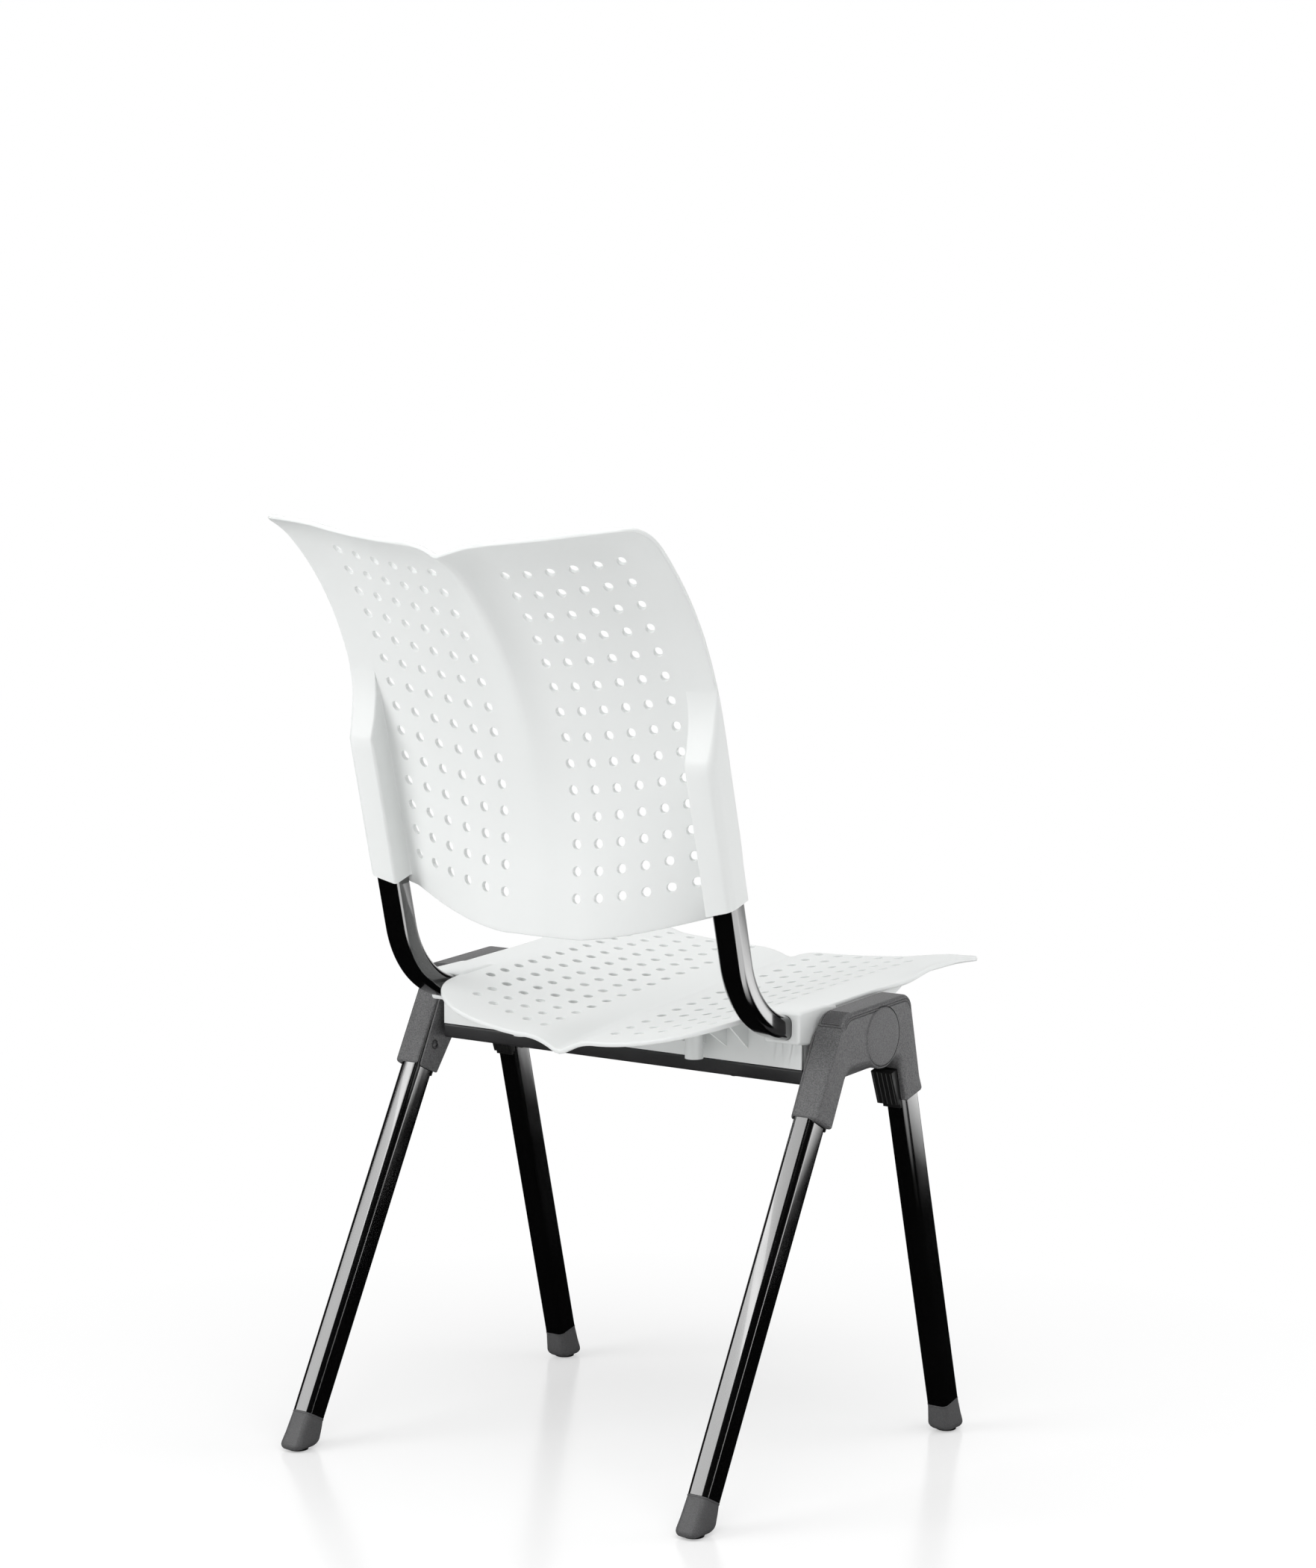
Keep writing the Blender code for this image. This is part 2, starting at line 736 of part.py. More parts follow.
def tube_path(top_z, end_y):
    """Centre line of a back tube from its top down to its end inside the seat corner."""
    path = [(tube_line(top_z), top_z), (TUBE_BEND_Y, TUBE_BEND_Z)]
    for i in range(1, BEND_STEPS + 1):
        turn = TUBE_LEAN + (math.pi / 2.0 - TUBE_LEAN) * i / BEND_STEPS
        path.append((
            TUBE_BEND_Y - TUBE_BEND_RADIUS * (math.cos(TUBE_LEAN) - math.cos(turn)),
            TUBE_BEND_Z - TUBE_BEND_RADIUS * (math.sin(turn) - math.sin(TUBE_LEAN)),
        ))
    path.append((end_y, path[-1][1]))
    return path


def build_seat(material):
    holes = []
    for column in range(HOLE_COLUMNS):
        rows = range(-4, 11) if column < HOLE_COLUMNS - 1 else range(-2, 10)
        for row in rows:
            holes.append(seat_hole(column, row))
    extra = []
    for step in range(15, -1, -1):
        extra.append((0.0, (90.0 - 25.0 * step) * MM))
    extra = [p for p in extra if p[1] > SEAT_FRONT_Y + 8.0 * MM]
    for step in range(16):
        y = (80.0 - 25.0 * step) * MM
        if y > SEAT_FRONT_Y + 10.0 * MM:
            extra.append((21.0 * MM, y))
        if y < 5.0 * MM and y > SEAT_FRONT_Y + 10.0 * MM:
            extra.append((197.0 * MM, y))
    for w in (56.0, 81.0, 106.0, 132.0):
        extra.append((w * MM, -294.0 * MM))
    verts, faces = shell_mesh(seat_half_outline(), holes, extra, seat_point, 1.0,
                              Vector((0.0, 0.0, 1.0)))
    shell = make("seat_shell", verts, faces, material, 40.0)
    stations = [w * MM for w in (0, 22, 43, 68, 93, 118, 143, 168, 186, 204)] + [SKIRT_HALF]
    across = [-w for w in reversed(stations[1:])] + stations
    skirt = under_strip(across, "y", SKIRT_Y - SKIRT_THICKNESS, SKIRT_Y,
                        lambda a: BAR_TOP_Z + GAP)
    combine(shell, helper("tool_skirt", *skirt, material), "UNION")
    corners = []
    gussets = []
    bosses = []
    pilots = []
    bores = []
    for side in (-1.0, 1.0):
        middle = side * (SEAT_HALF + BOX_IN) / 2.0
        outline = [
            (BOX_REAR_Y, BOX_LOW_Z),
            (BOX_REAR_Y, 455.0 * MM),
            (BOX_REAR_Y - 2.0 * MM, 457.3 * MM),
            (BOX_REAR_Y - 7.0 * MM, 458.6 * MM),
            (BOX_FRONT_Y, 459.6 * MM),
            (BOX_FRONT_Y - 20.0 * MM, seat_height(middle, BOX_FRONT_Y - 20.0 * MM) - 1.5 * MM),
            (BOX_FRONT_Y - 20.0 * MM, 442.0 * MM),
            (BOX_FRONT_Y, 424.0 * MM),
            (4.0 * MM, 424.0 * MM),
        ]
        corners.append(prism(outline, side * BOX_IN, side * SEAT_HALF))
        walls = [y * MM for y in (-30.0, -60.0, -90.0, -120.0, -150.0, -180.0, -205.0)]
        wall = under_strip(walls, "x", side * 219.5 * MM, side * 223.6 * MM,
                           lambda a: 440.0 * MM + max(0.0, -a - 95.0 * MM) * 0.19)
        gussets.append(wall)
        for i in range(GUSSETS):
            x = side * (GUSSET_FIRST + GUSSET_PITCH * i)
            reach = GUSSET_REACH_Y - 4.0 * MM * i
            half = SHELL_THICKNESS / 2.0
            near = SKIRT_Y - 1.5 * MM
            mid = (near + reach) / 2.0
            triangle = [
                (near, 404.5 * MM),
                (near, seat_height(x, near) - half),
                (mid, seat_height(x, mid) - half),
                (reach, seat_height(x, reach) - half),
            ]
            half_thick = GUSSET_THICKNESS / 2.0
            gussets.append(prism(triangle, x - half_thick, x + half_thick))
        for x, y, radius in (
            (REAR_BOSS_X, REAR_BOSS_Y, BOSS_OUTER),
            (FRONT_BOSS_X, FRONT_BOSS_Y, BOSS_OUTER),
            (LOOSE_BOSS_X, LOOSE_BOSS_Y, LOOSE_BOSS_RADIUS),
        ):
            low = BAR_TOP_Z + GAP if y < SKIRT_Y else 402.0 * MM
            high = seat_height(x, y) - SHELL_THICKNESS / 2.0
            bosses.append(turned([(radius, 0.0), (radius - 0.8 * MM, high - low)],
                                 (side * x, y, low), (0, 0, 1), 12))
            pilots.append(turned([(SCREW_RADIUS + GAP, -5.0 * MM), (SCREW_RADIUS + GAP, 17.0 * MM)],
                                 (side * x, y, low), (0, 0, 1), 8))
        outline = rounded_rect(TUBE_WIDTH + 2.0 * GAP, TUBE_DEPTH + 2.0 * GAP, TUBE_CORNER + GAP)
        path = tube_path(600.0 * MM, TUBE_END_Y - GAP)
        path = [p for p in path if p[0] < 75.0 * MM]
        bores.append(loft(side_rings(path, outline, side * TUBE_X)))
    box_tool = helper("tool_seat_corners", *together(corners), material)
    soften(box_tool, 2.5 * MM, 1, 50.0)
    combine(shell, box_tool, "UNION")
    combine(shell, helper("tool_gussets", *together(gussets), material), "UNION")
    combine(shell, helper("tool_seat_bosses", *together(bosses), material), "UNION")
    combine(shell, helper("tool_seat_pilots", *together(pilots), material), "DIFFERENCE")
    combine(shell, helper("tool_seat_bores", *together(bores), material), "DIFFERENCE")
    return shell


def build_back_tube(name, side, material):
    outer = rounded_rect(TUBE_WIDTH, TUBE_DEPTH, TUBE_CORNER)
    inner = rounded_rect(TUBE_WIDTH - 2.0 * TUBE_WALL, TUBE_DEPTH - 2.0 * TUBE_WALL,
                         TUBE_CORNER - TUBE_WALL)
    path = tube_path(TUBE_TOP_Z, TUBE_END_Y)
    rings_out = side_rings(path, outer, side * TUBE_X)
    rings_in = side_rings(path, inner, side * TUBE_X)
    return make(name, *ring_body(rings_out, rings_in), material, 30.0)


def leg_path(place, low, high):
    return [(leg_point(place, low), low), (leg_point(place, high), high)]


def build_leg(name, side, place, material):
    outer = rounded_rect(LEG_WIDTH, LEG_DEPTH, LEG_CORNER)
    inner = rounded_rect(LEG_WIDTH - 2.0 * LEG_WALL, LEG_DEPTH - 2.0 * LEG_WALL,
                         LEG_CORNER - LEG_WALL)
    path = leg_path(place, CAP_TOP_Z + GAP, LEG_TOP_Z)
    x = side * leg_x(place)
    return make(name, *ring_body(side_rings(path, outer, x), side_rings(path, inner, x)), material, 30.0)


def build_cap(name, side, place, material):
    """Foot cap with a spigot inside the tube, cut level at the floor."""
    x = side * leg_x(place)
    inside = 2.0 * LEG_WALL + 2.0 * GAP
    spigot = rounded_rect(LEG_WIDTH - inside, LEG_DEPTH - inside, LEG_CORNER - LEG_WALL)
    full = rounded_rect(LEG_WIDTH, LEG_DEPTH, LEG_CORNER)
    wide = rounded_rect(LEG_WIDTH + CAP_FLARE * 2.0, LEG_DEPTH + CAP_FLARE * 2.0, LEG_CORNER - 2.0 * MM)
    tight = rounded_rect(LEG_WIDTH - 3.4 * MM, LEG_DEPTH - 7.0 * MM, LEG_CORNER - 3.0 * MM)
    direction = leg_direction(place)
    across = Vector((-direction[1], direction[0]))
    top = Vector((leg_point(place, CAP_TOP_Z), CAP_TOP_Z))
    rings = []
    for outline, shift in ((spigot, CAP_SPIGOT), (spigot, 0.0), (full, 0.0), (full, -2.0 * MM)):
        spot = top + direction * shift
        rings.append([(x + u, spot[0] + across[0] * v, spot[1] + across[1] * v) for u, v in outline])
    for outline, z in ((wide, 8.0 * MM), (tight, CAP_BOTTOM_Z)):
        y = leg_point(place, z)
        stretch = 1.0 / direction[1]
        rings.append([(x + u, y - v * stretch, z) for u, v in outline])
    cap = make(name, *loft(rings), material, 25.0)
    hole = turned([(3.3 * MM, -2.0 * MM), (3.3 * MM, 9.0 * MM)],
                  (x, leg_point(place, CAP_BOTTOM_Z), CAP_BOTTOM_Z), (0, 0, 1), 14)
    combine(cap, helper("tool_glide_" + name, *hole, material), "DIFFERENCE")
    return cap


def build_glide(name, side, place, material):
    centre = (side * leg_x(place), leg_point(place, CAP_BOTTOM_Z), 0.0)
    profile = [
        (9.6 * MM, 0.0),
        (10.0 * MM, CAP_BOTTOM_Z - GAP),
        (3.0 * MM, CAP_BOTTOM_Z - GAP),
        (3.0 * MM, CAP_BOTTOM_Z + 8.0 * MM),
    ]
    return make(name, *turned(profile, centre, (0, 0, 1), 14), material, 30.0)


# Bracket outlines

def socket_corners(place, centre_z):
    """Rear and front corners of a socket mouth, square to its leg."""
    direction = leg_direction(place)
    rearward = Vector((direction[1], -direction[0]))
    centre = Vector((leg_point(place, centre_z), centre_z))
    return centre + rearward * SOCKET_HALF, centre - rearward * SOCKET_HALF


def along_leg(place, point, z):
    slope = REAR_SLOPE if place == "rear" else FRONT_SLOPE
    return point[0] + slope * (z - point[1])


def bracket_outline():
    rear_out, rear_in = socket_corners("rear", REAR_SOCKET_Z)
    front_in, front_out = socket_corners("front", FRONT_SOCKET_Z)
    arch_rear_z = ARCH_TOP_Z - 4.0 * MM
    rear_top_y = along_leg("rear", rear_out, BRACKET_TOP_REAR_Z)
    front_top_y = along_leg("front", front_out, BRACKET_TOP_FRONT_Z)
    corners = [
        (rear_out[0], rear_out[1], 4.0 * MM),
        (rear_top_y, BRACKET_TOP_REAR_Z, TOP_REAR_RADIUS),
        (front_top_y, BRACKET_TOP_FRONT_Z + 0.8 * MM, TOP_FRONT_RADIUS),
        (front_out[0], front_out[1], 4.0 * MM),
        (front_in[0], front_in[1], 3.0 * MM),
        (along_leg("front", front_in, ARCH_TOP_Z), ARCH_TOP_Z, 10.0 * MM),
        (along_leg("rear", rear_in, arch_rear_z) - 3.0 * MM, ARCH_TOP_Z, 16.0 * MM),
        (rear_in[0], rear_in[1], 3.0 * MM),
    ]
    return rounded_outline(corners, 3)


def cavity_outline(grow):
    rear_out, rear_in = socket_corners("rear", REAR_SOCKET_Z)
    front_in, front_out = socket_corners("front", FRONT_SOCKET_Z)
    rear_y = along_leg("rear", rear_out, CAVITY_FLOOR_Z) - 5.0 * MM
    rear_high = along_leg("rear", rear_out, 438.0 * MM) - 5.5 * MM
    front_y = along_leg("front", front_out, CAVITY_FLOOR_Z) + BRACKET_WALL
    front_high = along_leg("front", front_out, 446.0 * MM) + BRACKET_WALL
    corners = [
        (front_y - grow, CAVITY_FLOOR_Z - grow, 3.0 * MM),
        (rear_y + grow, CAVITY_FLOOR_Z - grow, 3.0 * MM),
        (rear_high + grow, 436.0 * MM, 8.0 * MM),
        (-24.0 * MM, 449.6 * MM + grow, 6.0 * MM),
        (-104.0 * MM, 454.6 * MM + grow, 8.0 * MM),
        (front_high - grow, 444.0 * MM, 6.0 * MM),
    ]
    return rounded_outline(corners, 2)


def cover_outline():
    """Inner cover: the inner half of both sockets, hanging a little below the arch."""
    rear_out, rear_in = socket_corners("rear", REAR_SOCKET_Z)
    front_in, front_out = socket_corners("front", FRONT_SOCKET_Z)
    inset = 1.5 * MM
    corners = [
        (rear_out[0] - 2.0 * inset, rear_out[1] - 2.0 * MM, 3.0 * MM),
        (along_leg("rear", rear_out, 434.0 * MM) - inset, 434.0 * MM, 10.0 * MM),
        (-24.0 * MM, 453.0 * MM, 10.0 * MM),
        (-106.0 * MM, 458.0 * MM, 10.0 * MM),
        (along_leg("front", front_out, 440.0 * MM) + inset, 440.0 * MM, 8.0 * MM),
        (front_out[0] + inset, front_out[1] - 8.0 * MM, 3.0 * MM),
        (-125.0 * MM, 344.5 * MM, 0.0),
        (-106.0 * MM, 346.5 * MM, 4.0 * MM),
        (-84.0 * MM, 366.0 * MM, 10.0 * MM),
        (-76.0 * MM, COVER_LOW_Z, 8.0 * MM),
        (-15.0 * MM, COVER_LOW_Z - 3.0 * MM, 8.0 * MM),
        (9.5 * MM, 341.5 * MM, 3.0 * MM),
        (24.0 * MM, 342.0 * MM, 3.0 * MM),
    ]
    return rounded_outline(corners, 3)


POSTS = ((-108.0 * MM, 443.0 * MM), (-2.0 * MM, 412.0 * MM))


def pad_strip(radius_low, radius_high, x_low, x_high, start, end, steps):
    """A curved strip over the rear top corner."""
    rear_out, rear_in = socket_corners("rear", REAR_SOCKET_Z)
    rear_top = (along_leg("rear", rear_out, BRACKET_TOP_REAR_Z), BRACKET_TOP_REAR_Z)
    front_out_y = -130.0 * MM
    arc = fillet((rear_out[0], rear_out[1]), rear_top, (front_out_y, BRACKET_TOP_FRONT_Z + 0.8 * MM),
                 TOP_REAR_RADIUS, 2)
    first = Vector(arc[0])
    last = Vector(arc[2])
    chord_mid = Vector(arc[1])
    a = (Vector((rear_out[0], rear_out[1])) - Vector(rear_top)).normalized()
    b = (Vector((front_out_y, BRACKET_TOP_FRONT_Z + 0.8 * MM)) - Vector(rear_top)).normalized()
    half = math.acos(a.dot(b)) / 2.0
    centre = Vector(rear_top) + (a + b).normalized() * (TOP_REAR_RADIUS / math.sin(half))
    spoke = (chord_mid - centre).normalized()
    base_angle = math.degrees(math.atan2(spoke[1], spoke[0]))
    inner = arc_points(centre, radius_low, base_angle + start, base_angle + end, steps)
    outer = arc_points(centre, radius_high, base_angle + start, base_angle + end, steps)
    return prism(inner + list(reversed(outer)), x_low, x_high)


def leg_channel(side, place, centre_z, low_shift, high_shift, v_low, v_high, x_low, x_high):
    """A block on the arch side of a socket, square to the leg."""
    direction = leg_direction(place)
    rearward = Vector((direction[1], -direction[0]))
    toward = -1.0 if place == "rear" else 1.0
    centre = Vector((leg_point(place, centre_z), centre_z))
    corners = []
    for shift, v in ((low_shift, v_low), (high_shift, v_low), (high_shift, v_high), (low_shift, v_high)):
        spot = centre + direction * shift + rearward * (toward * v)
        corners.append((spot[0], spot[1]))
    return prism(corners, side * x_low, side * x_high)


def build_bracket(name, side, material):
    body = make(name, *prism(bracket_outline(), side * BRACKET_IN, side * BRACKET_OUT), material, 30.0)
    soften(body, 2.6 * MM, 1, 50.0)
    hub = turned([
        (HUB_RADIUS, 0.0),
        (HUB_RADIUS, BRACKET_OUT - BRACKET_IN - 0.8 * MM),
        (HUB_RADIUS - 1.0 * MM, BRACKET_OUT - BRACKET_IN + 0.3 * MM),
    ], (side * (BRACKET_IN + 0.02 * MM), PIVOT_Y, PIVOT_Z), (side, 0, 0), 36)
    combine(body, helper("tool_hub_" + name, *hub, material), "UNION")
    cavity = prism(cavity_outline(0.0), side * (BRACKET_IN - 5.0 * MM), side * (BRACKET_OUT - 4.5 * MM))
    combine(body, helper("tool_cavity_" + name, *cavity, material), "DIFFERENCE")
    boss = turned([(BOSS_RADIUS, 0.0), (BOSS_RADIUS, 22.0 * MM)],
                  (side * 232.0 * MM, PIVOT_Y, PIVOT_Z), (side, 0, 0), 24)
    posts = [boss]
    for y, z in POSTS:
        posts.append(turned([(4.5 * MM, 0.0), (4.5 * MM, 25.5 * MM)],
                            (side * (BRACKET_IN + 0.01 * MM), y, z), (side, 0, 0), 10))
    combine(body, helper("tool_posts_" + name, *together(posts), material), "UNION")
    cuts = []
    cuts.append(turned([(BUSH_RADIUS + GAP, 0.0), (BUSH_RADIUS + GAP, 19.0 * MM)],
                       (side * 230.0 * MM, PIVOT_Y, PIVOT_Z), (side, 0, 0), 20))
    cuts.append(turned([(DISC_RADIUS + GAP, 0.0), (DISC_RADIUS + GAP, 8.0 * MM)],
                       (side * (BRACKET_OUT - DISC_DEPTH), PIVOT_Y, PIVOT_Z), (side, 0, 0), 36))
    for y, z in POSTS:
        cuts.append(turned([(1.8 * MM, 0.0), (1.8 * MM, 16.0 * MM)],
                           (side * (BRACKET_IN - 3.0 * MM), y, z), (side, 0, 0), 8))
    outline = rounded_rect(LEG_WIDTH + 2.0 * GAP, LEG_DEPTH + 2.0 * GAP, LEG_CORNER + GAP)
    for place, socket_z in (("rear", REAR_SOCKET_Z), ("front", FRONT_SOCKET_Z)):
        path = leg_path(place, socket_z - 30.0 * MM, LEG_TOP_Z + GAP)
        cuts.append(loft(side_rings(path, outline, side * leg_x(place))))
    combine(body, helper("tool_cuts_" + name, *together(cuts), material), "DIFFERENCE")
    channels = [
        leg_channel(side, "rear", REAR_SOCKET_Z, -20.0 * MM, 34.0 * MM, -10.0 * MM, 30.0 * MM,
                    CLAMP_IN - GAP, CLAMP_OUT + GAP),
        leg_channel(side, "front", FRONT_SOCKET_Z, -20.0 * MM, 34.0 * MM, -10.0 * MM, 30.0 * MM,
                    CLAMP_IN - GAP, CLAMP_OUT + GAP),
        pad_strip(TOP_REAR_RADIUS - PAD_THICKNESS, TOP_REAR_RADIUS + 6.0 * MM,
                  side * (243.0 * MM - PAD_WIDTH / 2.0 - GAP), side * (243.0 * MM + PAD_WIDTH / 2.0 + GAP),
                  -26.0, 30.0, 8),
    ]
    combine(body, helper("tool_channels_" + name, *together(channels), material), "DIFFERENCE")
    mouths = []
    for place in ("rear", "front"):
        centre_z = REAR_SOCKET_Z if place == "rear" else FRONT_SOCKET_Z
        direction = leg_direction(place)
        high = (LEG_TOP_Z + GAP - centre_z) / direction[1]
        half = LEG_DEPTH / 2.0 + GAP
        mouths.append(leg_channel(side, place, centre_z, -30.0 * MM, high, -half, half,
                                  BRACKET_IN - 4.0 * MM, leg_x(place)))
    combine(body, helper("tool_mouths_" + name, *together(mouths), material), "DIFFERENCE")
    return body


def build_clamp(name, side, place, material):
    """Ribbed wedge that closes the arch side of a socket."""
    centre_z = REAR_SOCKET_Z if place == "rear" else FRONT_SOCKET_Z
    base = leg_channel(side, place, centre_z, -7.0 * MM, 33.4 * MM, LEG_DEPTH / 2.0 + 2.0 * GAP,
                       SOCKET_HALF + 1.6 * MM, CLAMP_IN, CLAMP_OUT)
    clamp = make(name, *base, material, 30.0)
    grooves = []
    for i in range(4):
        x = CLAMP_IN + (2.0 + 4.6 * i) * MM
        grooves.append(leg_channel(side, place, centre_z, -20.0 * MM, 28.0 * MM, SOCKET_HALF + 0.4 * MM,
                                   SOCKET_HALF + 9.0 * MM, x, x + 2.2 * MM))
    step = leg_channel(side, place, centre_z, -20.0 * MM, -3.0 * MM, 0.0, 40.0 * MM, 242.5 * MM, 260.0 * MM)
    combine(clamp, helper("tool_grooves_" + name, *together(grooves), material), "DIFFERENCE")
    combine(clamp, helper("tool_step_" + name, *step, material), "DIFFERENCE")
    return clamp


def build_cover(name, side, material):
    cover = make(name, *prism(cover_outline(), side * COVER_IN, side * (BRACKET_IN - GAP)), material, 30.0)
    cuts = [turned([(12.0 * MM, 0.0), (12.0 * MM, 12.0 * MM)],
                   (side * (COVER_IN - 4.0 * MM), PIVOT_Y, PIVOT_Z), (side, 0, 0), 20)]
    for y, z in POSTS:
        cuts.append(turned([(1.9 * MM, 0.0), (1.9 * MM, 12.0 * MM)],
                           (side * (COVER_IN - 4.0 * MM), y, z), (side, 0, 0), 8))
    outline = rounded_rect(STRETCHER_DEPTH + 2.0 * GAP, STRETCHER_HEIGHT + 2.0 * GAP, 3.0 * MM + GAP, 2)
    slot = [(STRETCHER_Y + u, STRETCHER_Z + v) for u, v in outline]
    cuts.append(prism(slot, side * (COVER_IN - 4.0 * MM), side * (COVER_IN + 8.0 * MM)))
    for place in ("rear", "front"):
        screw_y = leg_point(place, 378.0 * MM)
        cuts.append(turned([(SCREW_RADIUS + GAP, 0.0), (SCREW_RADIUS + GAP, 12.0 * MM)],
                           (side * (COVER_IN - 4.0 * MM), screw_y, 378.0 * MM), (side, 0, 0), 8))
    combine(cover, helper("tool_cover_" + name, *together(cuts), material), "DIFFERENCE")
    return cover


def x_tube(name, half, centre_y, centre_z, depth, height, corner, wall, material):
    outer = rounded_rect(depth, height, corner, 2)
    inner = rounded_rect(depth - 2.0 * wall, height - 2.0 * wall, max(corner - wall, 0.4 * MM), 2)
    rings_out = [[(x, centre_y + u, centre_z + v) for u, v in outer] for x in (-half, half)]
    rings_in = [[(x, centre_y + u, centre_z + v) for u, v in inner] for x in (-half, half)]
    return make(name, *ring_body(rings_out, rings_in), material, 30.0)


def build_rail(name, side, material):
    outer = rounded_rect(RAIL_WIDTH, RAIL_HEIGHT, 3.0 * MM, 2)
    inner = rounded_rect(RAIL_WIDTH - 2.0 * BAR_WALL, RAIL_HEIGHT - 2.0 * BAR_WALL, 1.0 * MM, 2)
    centre_z = BAR_TOP_Z - RAIL_HEIGHT / 2.0
    ends = (REAR_BAR_Y - BAR_DEPTH / 2.0 - GAP, FRONT_BAR_Y + BAR_DEPTH / 2.0 + GAP)
    rings_out = [[(side * RAIL_X + u, y, centre_z + v) for u, v in outer] for y in ends]
    rings_in = [[(side * RAIL_X + u, y, centre_z + v) for u, v in inner] for y in ends]
    return make(name, *ring_body(rings_out, rings_in), material, 30.0)


def build_arm(name, side, material):
    base_z = BAR_TOP_Z + GAP
    crown = arc_points((PIVOT_Y, PIVOT_Z), ARM_RADIUS, -12.0, 192.0, 14)
    outline = [(PIVOT_Y - 25.0 * MM, base_z), (PIVOT_Y + 25.0 * MM, base_z)] + crown
    arm = make(name, *prism(outline, side * ARM_IN, side * ARM_OUT), material, 30.0)
    bore = turned([(PIN_RADIUS + GAP, 0.0), (PIN_RADIUS + GAP, 30.0 * MM)],
                  (side * (ARM_IN - 5.0 * MM), PIVOT_Y, PIVOT_Z), (side, 0, 0), 20)
    combine(arm, helper("tool_bore_" + name, *bore, material), "DIFFERENCE")
    return arm


def build_pin(name, side, material):
    start = ARM_IN - 3.0 * MM - GAP
    profile = [
        (12.0 * MM, 0.0),
        (12.0 * MM, 3.0 * MM),
        (PIN_RADIUS, 3.0 * MM),
        (PIN_RADIUS, 248.5 * MM - start),
    ]
    centre = (side * start, PIVOT_Y, PIVOT_Z)
    return make(name, *turned(profile, centre, (side, 0, 0), 20), material, 30.0, centre)


def ring_piece(name, side, inner, outer, x_low, x_high, material):
    profile = [(outer, 0.0), (outer, x_high - x_low), (inner, x_high - x_low), (inner, 0.0)]
    centre = (side * x_low, PIVOT_Y, PIVOT_Z)
    body = turned(profile, centre, (side, 0, 0), 20, True)
    return make(name, *body, material, 30.0, centre)


def build_disc(name, side, material):
    depth = DISC_DEPTH - GAP
    profile = [
        (DISC_RADIUS, 0.0),
        (DISC_RADIUS, depth - 0.4 * MM),
        (DISC_RADIUS - 1.6 * MM, depth + DISC_PROUD),
    ]
    centre = (side * (BRACKET_OUT - depth), PIVOT_Y, PIVOT_Z)
    return make(name, *turned(profile, centre, (side, 0, 0), 36), material, 20.0, centre)


def screw(centre, axis, head, shank, length, head_height):
    profile = [
        (head * 0.85, -head_height),
        (head, 0.0),
        (shank, 0.0),
        (shank, length),
    ]
    return turned(profile, centre, axis, 10)


def build_screws(side, word, material):
    low = BAR_TOP_Z - BAR_HEIGHT - GAP
    for place, x, y in (("rear", REAR_BOSS_X, REAR_BOSS_Y), ("front", FRONT_BOSS_X, FRONT_BOSS_Y)):
        body = screw((side * x, y, low), (0, 0, 1), SCREW_HEAD, SCREW_RADIUS,
                     BAR_HEIGHT + 14.0 * MM, 2.6 * MM)
        make(place + "_seat_screw_" + word, *body, material, 30.0)
        screw_y = leg_point(place, 378.0 * MM)
        body = screw((side * (COVER_IN - GAP), screw_y, 378.0 * MM), (side, 0, 0),
                     SCREW_HEAD, SCREW_RADIUS, 10.0 * MM, 2.0 * MM)
        make(place + "_leg_screw_" + word, *body, material, 30.0)
    for place, (y, z) in zip(("front", "rear"), POSTS):
        body = screw((side * (COVER_IN - GAP), y, z), (side, 0, 0), 3.2 * MM, 1.5 * MM,
                     13.0 * MM, 0.3 * MM)
        make(place + "_cover_screw_" + word, *body, material, 30.0)


def drill(target, name, spots, axis, radius, length, material):
    tools = [turned([(radius, 0.0), (radius, length)], spot, axis, 8) for spot in spots]
    combine(target, helper(name, *together(tools), material), "DIFFERENCE")


